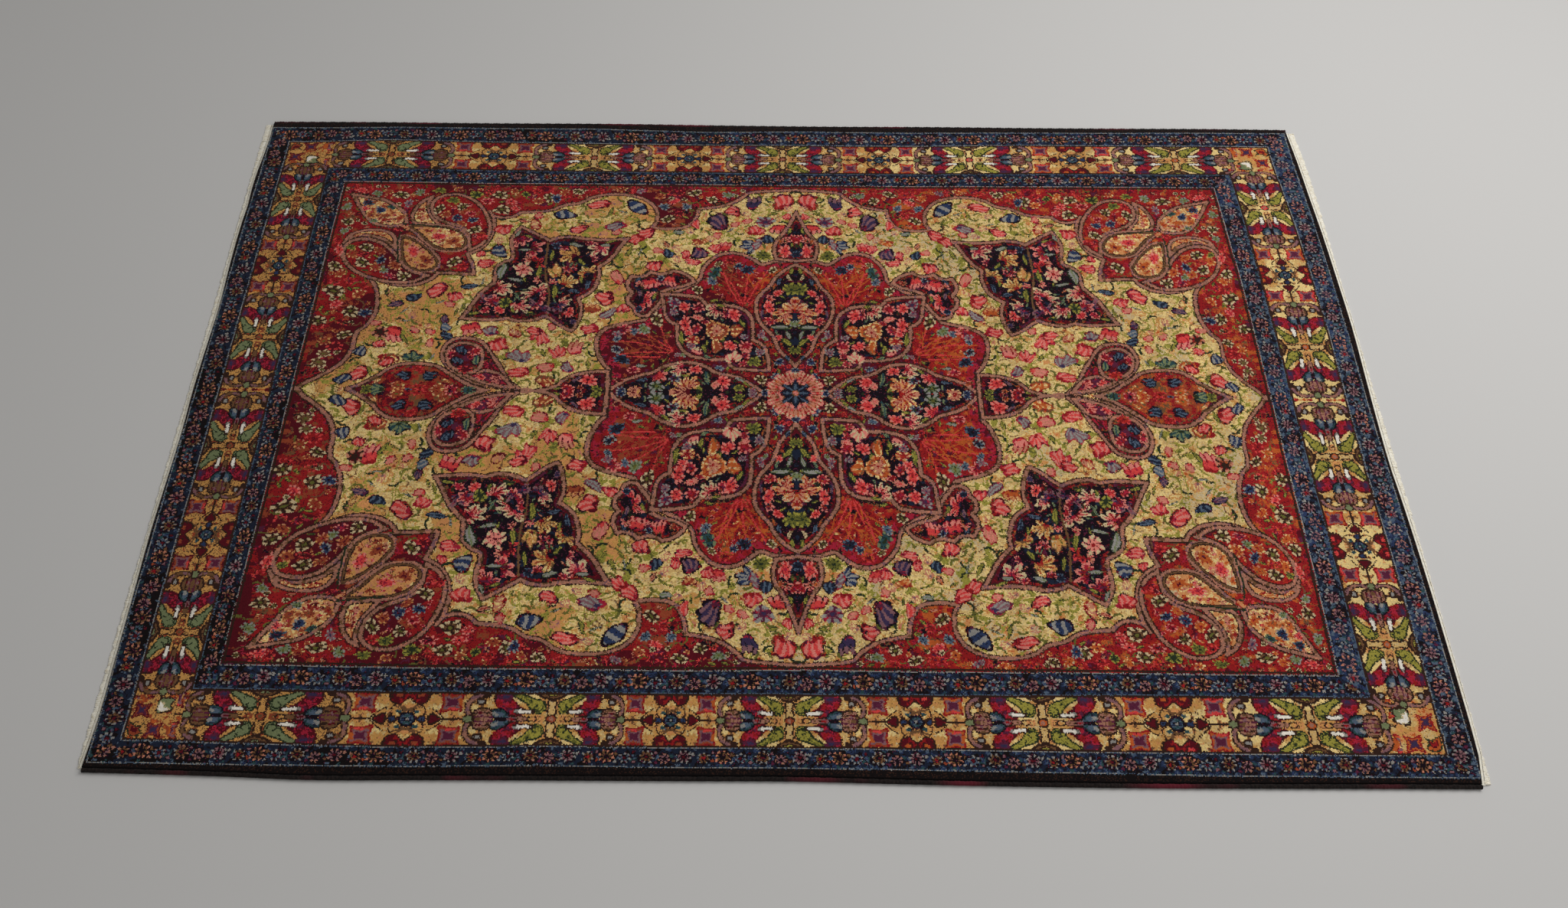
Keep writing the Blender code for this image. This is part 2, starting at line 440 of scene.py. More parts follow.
def strew(chart, ground, pitch, seed, kinds):
    """Small flowers and leaves scattered where the ground is still bare."""
    rows, cols = chart.squares.shape
    count = 0
    for i, j, shift_x, shift_y, turn, pick in lattice(chart, pitch, seed):
        x = (i + 0.5 * (j % 2) + 0.7 * shift_x) * pitch
        y = (j + 0.7 * shift_y) * pitch
        col, row = int(x / KNOT), int(y / KNOT)
        form, length, width, wool = kinds[int(pick * len(kinds))]
        reach = int(max(length, width) / 2 / KNOT)
        if not (reach < row < rows - reach and reach < col < cols - reach):
            continue
        patch = chart.squares[row - reach:row + reach + 1, col - reach:col + reach + 1]
        if np.mean(patch == DYE[ground]) > 0.8:
            motif(chart, form, x, y, length, width, 360 * turn, WOOLS[wool])
            count += 1
    return count

# %% twigs and blades strewn on a ground
def twigs(chart, ground, pitch, seed, length, width, dyes):
    """Short bent strokes, one near each point of a lattice, that pass behind the flowers."""
    rows, cols = chart.squares.shape
    for i, j, shift_x, shift_y, turn, pick in lattice(chart, pitch, seed):
        x, y = (i + shift_x) * pitch, (j + shift_y) * pitch
        col, row = min(int(x / KNOT), cols - 1), min(int(y / KNOT), rows - 1)
        if chart.squares[row, col] == DYE[ground]:
            aim = turn * 6.3
            line = [(x + length * k * math.cos(aim + k), y + length * k * math.sin(aim + k))
                    for k in (-0.5, -0.2, 0.1, 0.4)]
            stroke(chart, line, width, dyes[int(pick * len(dyes))], ground)

# %% a branching tree
def tree(chart, x, y, turn, length, dyes, over, order):
    """A stem with shorter branches to both sides, drawn only over one ground."""
    t = np.linspace(0, 1, 6)
    heading = np.radians(turn + 14 * np.sin(x + y) * t)
    line = np.column_stack([x + length * t * np.cos(heading), y + length * t * np.sin(heading)])
    stroke(chart, line, 2.3, dyes[order - 1], over)
    if order > 1:
        for step, side in ((1, 34), (2, -38), (3, 30), (4, -26)):
            tree(chart, line[step][0], line[step][1], turn + side, length * 0.46, dyes, over, order - 1)

# %% [markdown]
# ## The field, a quarter at a time
#
# The field has the same design in all four quarters, as most medallion rugs do, so only one quarter
# is charted: x runs from the rug's middle along its length, y across it. The gold ground comes first,
# cut by the scalloped edge of the red corner piece, with the rosewood band that outlines every figure.

# %% the gold ground and the edge of the corner piece
FIELD_LENGTH, FIELD_WIDTH = 830, 515  # mm, a quarter of the field
field = Chart(FIELD_LENGTH, FIELD_WIDTH, "brick")


def figure(name, ground, bands, words, mirror=None):
    """Draw a large figure of the field from the words of its outline, or of the half to be mirrored."""
    line = outline(words) if mirror is None else mirrored(outline(words), mirror)
    shape(field, line, ground, bands)
    print("drawn:", name)


figure("the gold ground, up to the corner piece", "gold", BAND, words="""
-20 508, 0 508, 80 500, 95 488, 110 474, 130 463, 150 457, 178 452;
178 452, 180 435, 185 418, 195 402, 210 395, 235 393, 258 396;
258 396, 251 410, 250 430, 252 445, 262 465, 280 480, 305 489, 330 491, 355 488, 375 480, 395 466,
420 460, 440 448, 460 441, 500 437;
500 437, 508 428, 520 422, 535 422, 548 428, 556 440;
556 440, 548 420, 545 395, 546 375, 552 355, 562 340, 575 330, 588 322;
588 322, 583 310, 578 295, 575 275;
575 275, 590 275, 615 277, 638 277;
638 277, 645 265, 655 258, 668 251, 690 247, 710 249, 730 256, 765 270;
765 270, 750 255, 742 238, 738 215, 738 190, 742 170, 750 152, 762 138;
762 138, 765 120, 764 100, 768 80, 775 62, 785 48, 800 32, 815 18, 828 4, 840 -20;
840 -20, -20 -20
""")
print("a quarter of the field is", field.squares.shape, "knots")

# %% vines of the open ground
VINES = (
    "345 62, 362 78, 366 100, 352 124, 358 148",
    "366 58, 364 80, 380 96, 404 88, 422 86",
    "398 54, 420 66, 446 88, 474 84, 492 80",
    "434 26, 462 36, 486 42, 498 74, 524 107",
    "458 120, 478 138, 500 136, 524 107",
    "524 107, 556 128, 572 146, 590 150, 614 136",
    "655 250, 652 220, 656 175, 648 130, 640 112, 672 100, 692 76",
    "614 146, 642 164, 650 196, 690 208, 716 240",
    "670 126, 684 146, 702 166, 690 208",
    "700 76, 724 60, 730 46, 746 36, 772 24",
    "580 245, 606 232, 640 236, 650 196",
    "340 186, 352 204, 364 196",
    "310 196, 324 214, 340 222, 320 250, 302 268, 262 306",
    "186 284, 205 290, 224 294, 236 306",
    "174 326, 204 320, 232 326, 250 302",
    "146 346, 176 358, 200 350, 216 360, 270 370, 300 388, 332 396",
    "110 380, 104 398, 112 412, 146 414, 182 404, 212 378",
    "30 396, 76 390, 92 418, 116 444",
    "62 414, 50 444, 28 474",
    "332 396, 334 436, 326 462",
    "262 414, 292 414, 318 420, 366 408, 396 420",
    "356 460, 386 440, 390 412, 400 392",
    "440 392, 434 412, 452 424, 470 410, 496 412",
    "526 386, 516 350, 536 330, 552 300, 564 272",
)
for vine in VINES:
    stroke(field, outline(vine), 2.0, "moss")
print(len(VINES), "vines")

# %% [markdown]
# ## Flowers of the open ground
#
# The vines carry some eighty blossoms and leaves. Each is a few words: its kind, its place along and
# across, its length and width, its turn in degrees, and its set of wools. A blossom whose turn is 0
# looks to one side or the other by its place, so that they don't all face one way.

# %% blossoms and leaves on the vines
FIELD_FLOWERS = """
peony 435 22 40 28 0 amber, peony 485 42 34 28 20 coral, peony 440 53 34 26 -30 pale,
peony 400 55 30 23 45 mauve, fan 488 82 38 30 75 mauve, fan 420 92 36 24 90 coral,
tulip 388 100 28 34 0 pale, peony 525 106 37 34 0 coral, fan 456 126 44 28 -80 coral,
peony 467 142 30 23 0 rosy, peony 500 135 23 23 0 peach, peony 540 140 30 25 0 mauve,
tulip 572 146 34 30 0 coral, bell 612 128 26 20 -100 navy, bell 616 148 26 18 90 sky,
peony 619 168 22 16 80 violet, peony 605 221 30 23 0 coral, peony 635 235 37 37 0 rosy,
leaf 581 245 36 14 0 navy, bell 676 217 30 18 150 navy, peony 703 203 30 16 -25 violet,
tulip 700 132 30 42 0 coral, peony 721 106 23 21 0 rosy, daisy 722 134 28 28 0 wood,
peony 702 70 38 32 0 amber, peony 702 64 25 23 0 rosy, fan 662 78 28 28 90 teal,
bell 749 88 25 25 0 slate, peony 744 36 34 37 0 rosy, bell 768 24 28 22 0 slate,
peony 365 148 37 25 0 coral, peony 310 196 21 28 90 coral, peony 340 221 34 37 0 rosy,
tulip 364 196 23 30 90 amber, leaf 337 184 38 18 -45 mauve, leaf 302 224 21 12 60 fern,
peony 320 270 24 36 0 pale, peony 255 298 32 30 0 rosy, peony 187 308 32 18 0 coral,
peony 198 326 18 23 0 coral, peony 174 328 34 32 0 violet, bell 230 327 23 21 0 navy,
leaf 232 350 18 12 60 wood, tulip 128 345 25 23 0 coral, peony 145 343 23 23 0 coral,
peony 175 357 28 17 0 amber, rose 60 324 32 28 0 fern, fan 86 348 34 26 -15 slate,
peony 69 354 18 30 0 mauve, bell 52 365 25 23 0 navy, peony 270 379 37 30 -30 rosy,
peony 288 362 32 25 -30 coral, leaf 212 382 24 16 -10 sage, tulip 32 395 32 28 0 rosy,
peony 73 388 34 30 0 coral, bud 180 404 28 18 -100 coral, daisy 57 416 34 30 0 mauve,
peony 16 430 18 21 0 coral, leaf 40 441 21 8 0 fern, peony 142 414 50 44 45 violet,
peony 113 445 32 32 0 rosy, peony 25 475 42 48 0 rosy, tulip 78 470 28 38 0 violet,
peony 325 398 42 26 -20 mauve, peony 392 389 38 24 -12 rosy, bell 288 454 56 28 48 slate,
bell 420 431 44 28 0 slate, peony 358 461 46 28 5 rosy, peony 555 300 32 23 0 coral,
peony 562 322 18 16 0 coral, bell 531 331 36 27 60 slate, peony 526 387 34 32 0 coral,
leaf 492 411 24 11 10 wood, peony 470 400 22 34 0 peach, leaf 362 62 23 9 80 fern,
leaf 446 88 23 9 60 fern, leaf 728 42 26 9 70 fern, leaf 590 196 23 8 110 fern,
leaf 682 120 34 9 55 fern, leaf 336 440 26 9 110 fern, leaf 300 330 31 10 120 fern
"""
SIDEWAYS = {1: -90, 2: 90}
for form, x, y, length, width, turn, wool in flowers(FIELD_FLOWERS):
    side = SIDEWAYS.get((x + y) % 3)
    if side and turn == 0 and form in (peony, tulip):
        turn, length, width = side, width, length
    motif(field, form, x, y, length, width, turn, WOOLS[wool])
print("blossoms and leaves on the vines:", len(list(flowers(FIELD_FLOWERS))))

# %% [markdown]
# ## The bouquet in the corner piece
#
# Toward each corner stands a bouquet: two botehs, the curved drops of paisley, each in a thin sleeve,
# with two teardrops and a broad leaf between them, and stems that join them.

# %% the bouquet
figure("the sleeve toward the end", "peach", BAND, words="""
712 330, 718 362, 740 380, 772 381, 797 369, 808 345;
808 345, 790 362, 765 364, 740 356, 722 342, 712 330
""")
figure("the sleeve toward the side", "peach", BAND, words="""
640 394, 668 398, 688 402, 695 420, 692 445, 680 468, 664 480;
664 480, 668 460, 664 436, 654 416, 640 394
""")
figure("the boteh toward the end", "scarlet", BAND, words="""
652 270, 680 254, 712 252, 742 258, 770 271, 792 290, 805 315, 805 338, 793 353, 768 358, 744 350,
724 334, 708 312, 696 292, 680 280, 652 270
""")
figure("the boteh toward the side", "scarlet", BAND, words="""
584 330, 562 345, 550 372, 551 400, 560 430, 574 456, 600 480, 626 487, 650 480, 663 462, 661 438,
650 418, 632 404, 608 394, 590 374, 584 330
""")
figure("the teardrop toward the end", "peach", RING, words="""
703 362, 680 350, 657 328, 641 303, 646 289, 660 283, 678 286, 692 298, 700 322, 703 362
""")
figure("the teardrop toward the side", "peach", RING, words="""
692 392, 655 391, 625 387, 603 374, 592 353, 598 340, 615 334, 638 338, 656 353, 676 376, 692 392
""")
figure("the broad leaf", "peach", BAND, words="""
701 402, 715 393, 742 392, 762 401, 777 418, 792 445, 813 485;
813 485, 776 476, 748 468, 724 450, 708 430, 701 402
""")
for stem in ("708 300, 712 350, 706 400", "640 392, 690 398, 706 400", "700 380, 712 384"):
    stroke(field, places(stem), 3.0, "pine")
motif(field, leaf, 702, 388, 20, 14, 60, WOOLS["peach"])

# %% [markdown]
# ## The medallion
#
# The medallion has two red lobes in each quarter, one toward the end of the rug and one toward its
# side. Over them lie a dark shield, a heart and two long almonds, with a spade and a finial at its
# ends. Half outlines that end on the rug's middle lines are closed by their mirror images.

# %% the medallion
figure("the lobe toward the end", "scarlet", WARM_BAND, words="""
326 -20, 328 46;
328 50, 337 62, 347 86, 352 112, 349 134, 338 150, 318 160, 294 167, 275 172;
275 172, 262 186, 244 206;
244 206, 40 60, -20 -20
""")
figure("the lobe toward the side", "scarlet", WARM_BAND, words="""
-20 313, 36 313;
36 313, 60 305, 75 315, 95 328, 115 332, 138 327, 155 312, 168 292, 173 270, 180 260;
180 260, 210 240, 244 226;
244 226, 40 60, -20 -20
""")
figure("the ground between the lobes", "garnet", (), words="""
-20 -20, 80 -20;
80 -20, 240 66, 216 100, 216 164, 170 224, 72 200;
-20 80, -20 -20
""")
figure("the heart", "ink", DEEP_BAND, words="""
268 180, 280 179, 291 186, 294 198;
294 198, 303 208, 304 222, 297 233;
297 233, 304 246, 303 260, 296 274;
296 274, 284 272, 270 276, 262 284;
262 284, 246 279, 232 281, 222 288;
222 288, 204 282, 190 272, 182 260;
182 260, 200 250, 225 243, 241 235;
241 235, 243 215, 252 200, 268 180
""")
figure("the shield", "ink", DEEP_BAND, words="""
45 52, 62 51, 90 53, 108 55, 116 62, 122 76;
122 76, 145 76, 165 78, 185 83, 200 95, 210 112, 214 135, 216 160;
216 160, 228 167, 237 182, 240 205, 243 231;
243 231, 225 231, 200 229, 176 225, 166 216, 160 207;
160 207, 140 208, 120 207, 100 202, 85 190, 77 175, 75 150, 75 126;
75 126, 62 118, 53 105, 48 85, 45 52
""")
figure("the almond toward the end", "ink", DEEP_BAND, mirror=1, words="""
52 0, 62 6, 75 18, 90 29, 105 38, 125 42, 142 48, 155 58, 170 66, 187 70, 205 70, 225 64, 240 57,
255 46, 272 40, 290 33, 306 24, 320 9, 328 0
""")
figure("the almond toward the side", "ink", DEEP_BAND, mirror=0, words="""
0 60, 10 75, 20 87, 30 101, 36 120, 42 136, 52 149, 62 163, 69 180, 72 198, 70 220, 60 238, 46 255,
38 272, 20 292, 0 305
""")
figure("the spade", "ink", DEEP_BAND, mirror=1, words="""
326 0, 328 47;
328 47, 345 47, 370 43, 390 36, 405 25, 415 14, 430 6, 456 0
""")
figure("the finial", "ink", DEEP_BAND, mirror=0, words="""
0 311, 36 316;
36 316, 41 340, 37 360, 28 375, 20 392, 12 412, 6 430, 0 448
""")
figure("the stalk", "rosewood", (), mirror=1, words="""
450 0, 462 5, 476 6, 488 0
""")

# %% trees in the red lobes
for x, y, turn, length in ((214, 84, -6, 100), (216, 90, 10, 104), (218, 94, 26, 100), (220, 98, 42, 84),
                           (224, 104, 58, 66), (84, 208, 128, 82), (88, 210, 110, 92), (92, 210, 92, 98),
                           (96, 210, 74, 94), (100, 210, 56, 80)):
    tree(field, x, y, turn, length, ("orange", "coral"), "scarlet", order=2)
print("trees drawn; dyes in the field so far:", len(np.unique(field.squares)))

# %% [markdown]
# ## Pendants and kites
#
# At each end of the medallion a pendant hangs between two botehs, and beside it stands a large dark
# kite of ogee curves, full of blossoms.

# %% the botehs and the pendant
figure("the boteh", "crimson", BAND, words="""
482 5, 500 24, 511 46, 521 67, 535 88, 545 107, 558 119, 578 124, 600 120, 612 103, 614 80, 606 60,
592 44, 572 28, 548 14, 520 7, 500 3, 482 3
""")
figure("the plum leaf", "plum", BAND, words="""
490 6, 503 24, 516 38, 536 46, 556 42, 572 36, 556 24, 532 14, 510 8, 490 6
""")
figure("the boteh's eye", "garnet", BAND, words="""
546 58, 546 82, 553 100, 570 111, 590 111, 604 98, 606 76, 598 56, 580 42, 562 40, 550 48, 546 58
""")
figure("the pendant", "rust", RUST_BAND, mirror=1, words="""
530 0, 545 5, 562 13, 580 26, 600 42, 618 56, 640 61, 665 62, 686 57, 702 45, 716 30, 735 15, 760 0
""")
for vein in ("512 40, 526 62, 538 88, 552 108", "524 48, 536 66, 540 84"):  # of the boteh
    stroke(field, outline(vein), 2.0, "bark")

# %% the kite
figure("the kite", "ink", DEEP_BAND, words="""
398 142, 410 147, 425 157, 438 168, 450 177;
450 177, 462 171, 480 166, 500 165, 515 170, 530 168, 550 167, 594 170;
594 170, 585 185, 577 200, 570 215, 560 232, 540 253;
540 253, 538 270, 537 285, 530 298, 508 312;
508 312, 507 325, 510 345, 508 366, 495 395;
495 395, 480 385, 465 374, 440 358;
440 358, 425 365, 400 367, 375 363, 335 361, 300 364;
300 364, 308 352, 315 340, 325 322, 338 305, 352 292;
352 292, 350 275, 357 247, 370 230, 388 218;
388 218, 383 205, 382 190, 386 168, 392 152, 398 142
""")
stroke(field, outline("447 182, 443 230, 450 280, 444 350"), 4.0, "umber")

# %% [markdown]
# ## Flowers inside the figures
#
# Every figure is full of flowers. These are the ones that show, in the same words as before, one figure
# at a time. Where two overlap, the later one lies on top.

# %% flowers of the almond toward the end
plant(field, """
rose 127 25 28 26 0 coral, rose 142 16 14 16 0 pale, leaf 157 34 36 14 80 teal,
leaf 172 12 26 12 60 fern, lily 184 26 32 24 140 peach, lily 206 0 38 34 0 peach,
daisy 213 31 22 18 0 slate, lily 238 33 22 20 210 coral, daisy 246 12 28 26 0 sage,
rose 285 4 26 20 0 peach, rose 306 4 16 14 0 slate, rose 178 52 28 20 10 rosy,
lily 212 51 28 18 330 blossom, leaf 270 28 26 10 -20 navy, rose 310 26 16 14 0 wood,
rose 100 10 20 16 0 fern, leaf 88 20 22 8 40 fern, rose 76 4 16 14 0 mauve, leaf 98 30 20 8 25 sage,
leaf 196 38 16 8 0 fern, leaf 228 52 18 8 -30 fern
""")

# %% flowers of the almond toward the side
plant(field, """
leaf 14 120 28 12 40 fern, leaf 12 138 26 10 70 sage, rose 30 132 13 16 0 rosy, rose 5 100 16 20 0 fern,
leaf 20 156 26 14 0 fern, rose 4 166 18 18 0 sage, rose 46 170 22 20 0 berry,
lily 25 180 30 26 -50 peach, lily 0 206 38 34 90 peach, rose 46 204 20 32 0 rosy,
leaf 26 156 36 12 10 sage, rose 8 246 30 30 0 fern, rose 32 236 18 16 0 coral,
leaf 13 274 20 10 60 cream, leaf 30 262 20 10 110 navy, leaf 8 288 18 9 90 fern,
leaf 34 144 18 8 60 teal, leaf 60 190 20 8 90 violet, leaf 14 82 16 8 60 navy
""")

# %% flowers of the shield
plant(field, """
rose 72 72 28 24 0 fern, rose 94 68 18 16 0 berry, fan 110 84 38 26 90 blossom,
rose 64 96 18 20 0 mauve, rose 90 110 26 28 0 berry, rose 88 98 20 12 0 pale, rose 118 110 26 24 0 rosy,
leaf 132 128 20 10 60 fern, bud 142 106 36 22 -90 amber, bell 107 148 32 22 90 amber,
rosette 143 147 46 48 0 amber, rose 143 147 28 30 22 peach, tulip 175 98 22 22 90 blossom,
rose 188 110 18 18 0 mauve, leaf 163 104 22 12 90 fern, daisy 184 124 28 20 0 peach,
leaf 205 126 34 12 80 fern, rose 179 150 22 26 0 berry, rose 198 162 22 42 5 rosy,
rose 112 184 36 28 15 rosy, rose 126 188 14 26 0 berry, lily 151 190 24 24 330 blossom,
rose 176 178 24 14 0 pale, rose 176 200 24 24 0 berry, rose 203 203 24 26 0 rosy,
rose 221 190 16 20 0 mauve, daisy 221 212 24 22 0 mauve, leaf 96 166 22 10 70 fern,
leaf 158 84 18 10 30 teal, leaf 136 206 18 8 0 fern, rose 92 132 16 12 0 mauve,
rose 194 140 18 14 0 coral, rose 164 168 18 12 0 berry
""")

# %% flowers of the lobes
plant(field, """
daisy 61 31 22 20 0 cream, rose 33 37 20 20 0 slate, rose 28 72 18 20 0 slate, rose 135 57 18 12 0 sky,
rose 60 138 14 22 0 mauve, rose 310 75 30 22 20 navy, daisy 318 98 20 20 0 sky,
rose 319 124 14 16 0 sky, rose 318 136 18 16 0 mauve, rose 275 148 24 28 0 sage,
rose 292 143 16 18 0 sky, lily 305 150 22 14 150 berry, daisy 250 172 22 32 0 cream,
rose 288 50 24 16 0 berry, leaf 276 60 22 9 0 sage, daisy 176 242 20 20 0 cream,
rose 146 282 26 40 0 teal, rose 85 290 26 22 0 navy, rose 103 299 16 16 0 slate,
daisy 42 290 16 16 0 cream, rose 152 262 20 20 0 sky, rose 140 304 16 14 0 cream,
leaf 148 217 16 8 0 fern, rose 118 312 26 18 0 flame
""")

# %% flowers of the heart
plant(field, """
lily 269 212 18 36 210 rosy, tulip 226 263 30 22 270 rosy, tulip 263 256 26 28 270 coral,
rose 284 196 14 14 0 navy, daisy 244 268 14 14 0 slate, leaf 282 232 20 10 90 violet,
rose 203 262 16 12 0 wood, leaf 256 226 18 8 100 fern, leaf 284 264 18 8 120 navy
""")

# %% flowers of the spade and the finial
plant(field, """
rose 357 25 32 28 0 rosy, rose 393 6 26 20 0 berry, rose 345 6 18 14 0 fern,
leaf 380 28 20 9 -30 violet, rose 372 8 14 12 0 wood, leaf 412 6 16 6 -20 fern,
rose 20 336 22 34 0 rosy, rose 4 368 18 22 0 berry, rose 2 328 14 18 0 navy, leaf 12 390 20 8 100 fern,
rose 28 360 12 12 0 wood
""")

# %% flowers of the boteh and the pendant
plant(field, """
rose 573 48 26 20 0 flame, leaf 556 68 26 16 80 teal, peony 587 67 22 22 90 navy,
rose 560 90 20 22 0 berry, peony 582 93 24 22 90 navy, rose 600 84 14 24 0 berry,
fan 522 25 30 18 25 berry, rose 546 30 20 14 20 rosy, peony 628 33 27 25 0 navy,
peony 668 33 27 23 0 navy, peony 708 3 28 24 0 teal, rose 560 2 26 14 0 teal, rose 590 3 22 16 0 berry,
rose 612 4 24 20 0 amber, rose 640 6 24 14 0 flame, rose 678 8 24 20 0 amber, rose 648 48 20 14 0 flame,
leaf 600 22 24 9 40 amber, leaf 712 20 26 9 -40 amber, rose 728 4 18 12 0 fern, rose 660 -2 14 12 0 navy
""")

# %% flowers of the kite, toward the middle
plant(field, """
lily 407 263 30 22 120 tan, lily 408 325 31 31 30 tan, lily 376 286 18 25 60 tan,
lily 355 333 30 26 300 blossom, leaf 395 347 26 12 10 sage, fan 431 284 40 20 90 tan,
rose 405 186 25 19 270 rosy, lily 411 212 21 14 150 blossom, leaf 433 236 34 14 90 fern,
leaf 372 250 26 12 110 navy, leaf 340 346 18 10 0 sage, leaf 384 306 20 10 60 fern,
rose 398 166 14 14 0 violet, leaf 398 236 26 12 10 navy, rose 428 345 18 18 0 navy,
leaf 384 262 18 8 90 fern, lily 424 196 16 20 240 violet, leaf 330 356 24 7 -15 fern,
leaf 437 318 28 9 95 fern, rose 368 350 18 12 0 berry
""")

# %% flowers of the kite, toward the corner
plant(field, """
lily 491 195 28 22 240 blossom, rose 530 190 20 18 0 coral, rose 553 190 18 16 0 berry,
lily 544 216 26 26 120 violet, lily 544 213 21 19 30 berry, lily 460 204 18 30 120 violet,
lily 460 207 12 23 210 berry, lily 470 240 19 35 60 blossom, lily 519 238 31 21 210 blossom,
daisy 520 208 21 23 0 fern, rose 488 286 35 37 180 blossom, leaf 525 284 40 20 100 sage,
lily 464 335 24 28 210 berry, lily 461 306 18 21 150 flame, lily 489 353 21 25 240 berry,
leaf 484 334 26 8 0 sage, leaf 461 278 34 12 95 fern, leaf 499 374 22 9 120 sage,
leaf 498 222 26 8 60 teal, leaf 500 262 30 9 10 sage, leaf 572 182 22 8 -20 fern,
leaf 478 366 18 7 20 fern, leaf 506 190 16 7 80 fern
""")

# %% flowers of the bouquet
plant(field, """
daisy 697 268 24 22 0 cream, daisy 771 299 24 24 0 cream, daisy 765 336 26 20 0 cream,
rose 733 282 18 18 0 sage, rose 738 305 18 22 0 slate, rose 714 292 24 24 0 amber,
rose 748 288 22 20 0 amber, rose 788 320 20 26 0 amber, rose 742 328 28 16 20 amber,
rose 720 268 22 14 0 berry, rose 792 336 16 14 0 fern, rose 766 318 26 12 0 flame,
daisy 577 384 26 22 0 cream, daisy 607 452 20 22 0 cream, daisy 648 444 20 28 0 cream,
rose 585 413 22 18 0 slate, rose 613 418 22 22 0 slate, rose 600 436 22 18 0 amber,
rose 633 428 20 22 0 amber, rose 624 469 26 20 0 fern, lily 566 360 16 20 60 flame,
rose 645 468 18 16 0 flame, rose 588 432 18 16 0 berry, rose 602 402 24 12 20 amber,
rose 659 308 26 28 0 amber, rose 682 328 22 30 0 coral, rose 612 352 28 24 0 amber,
rose 640 366 30 20 20 coral, rose 662 380 16 12 0 amber, rose 697 346 10 14 0 amber,
rose 755 440 20 22 0 slate, rose 735 448 20 12 20 teal, rose 780 460 22 18 0 navy,
rose 762 407 16 14 0 sage, rose 716 418 20 22 0 amber, rose 742 422 24 18 0 amber,
rose 783 444 14 16 0 rosy, rose 770 424 22 16 40 amber, leaf 745 370 34 10 5 amber,
leaf 783 367 22 8 -20 amber, leaf 680 430 40 10 95 amber
""")

# %% flowers round the bouquet
plant(field, """
daisy 610 303 24 24 0 cream, daisy 533 443 30 26 0 cream, daisy 450 480 22 26 0 cream,
daisy 540 485 28 22 0 cream, daisy 586 486 26 20 0 fern, daisy 721 483 32 20 0 cream,
daisy 232 421 24 22 0 cream, daisy 153 478 22 20 0 cream, daisy 184 496 26 18 0 cream,
daisy 495 488 16 16 0 fern, daisy 780 128 22 20 0 cream, rose 808 60 24 26 0 cream,
rose 802 82 22 20 0 cream, rose 756 182 24 20 0 slate, daisy 776 184 24 26 0 cream,
daisy 820 161 24 26 0 cream, daisy 806 232 34 26 0 cream, daisy 808 405 24 20 0 cream,
daisy 400 496 22 18 0 cream, rose 689 492 18 22 0 sage, rose 766 487 20 18 0 sage,
rose 816 448 20 22 0 sage, rose 812 378 18 18 0 sage, rose 200 457 20 20 0 sky,
rose 239 457 20 20 0 sky, rose 125 491 26 18 0 sage, rose 437 478 20 26 0 slate,
rose 652 496 26 16 0 fern, rose 593 292 18 20 90 flame, daisy 815 290 24 22 0 cream,
rose 788 100 24 22 0 flame, rose 806 112 20 24 0 amber, rose 782 158 20 16 0 flame,
rose 768 226 22 22 0 amber, rose 800 200 18 20 0 rosy, rose 786 256 18 16 0 flame,
rose 803 272 20 18 0 amber, rose 812 330 16 28 0 rosy, rose 706 460 16 24 0 mauve,
rose 470 470 22 20 0 amber, rose 520 466 24 16 0 rosy, rose 562 468 26 18 0 berry,
rose 560 494 18 16 0 flame, rose 618 500 20 14 0 amber, rose 746 492 18 16 0 amber,
rose 795 495 24 16 0 rosy, rose 210 436 18 18 0 flame, rose 222 472 22 18 0 rosy,
rose 250 486 22 20 0 amber, rose 214 494 22 18 0 flame, rose 285 499 22 14 0 mauve,
rose 320 504 22 14 0 amber, rose 360 500 22 16 0 flame, rose 424 496 18 18 0 amber,
rose 474 496 18 18 0 flame, rose 510 448 18 18 0 rosy, rose 516 496 16 18 0 amber
""")

# %% the middle flower
for form, size, turn, dyes in ((rosette, 112, 0, ("rust", "pink", "blush", "blush")),
                               (rosette, 88, 12, ("coral", "blush", "rosewood", "pink")),
                               (rosette, 66, 0, ("crimson", "pink", "blush", "rosewood"))):
    motif(field, form, 0, 0, size, size, turn, dyes)
for turn in range(4, 90, 9):  # veins and pale tips of its petals
    c, s = math.cos(math.radians(turn)), math.sin(math.radians(turn))
    stroke(field, ((30 * c, 30 * s), (50 * c, 50 * s)), 1.7, "rust")
    motif(field, disc, 47 * c - 3.6 * s, 47 * s + 3.6 * c, 4.4, 3.6, turn, ("cream",))
for turn in (0, 45, 90):  # dark leaves between the heart and the petals
    c, s = math.cos(math.radians(turn)), math.sin(math.radians(turn))
    motif(field, leaf, 17 * c, 17 * s, 27, 16, turn, ("ink", "navy", "denim"))
for size, dye in ((15, "rust"), (9, "pink")):
    motif(field, disc, 0, 0, size, size, 0, (dye,))
for x, y in ((54, 2), (2, 54)):
    motif(field, rose, x, y, 14, 12, 0, WOOLS["slate"])

# %% [markdown]
# ## Filling the grounds
#
# What is still bare gets small flowers, leaves and twigs. Then each plain ground is broken into the
# mix of dyes that a hand-dyed wool has.

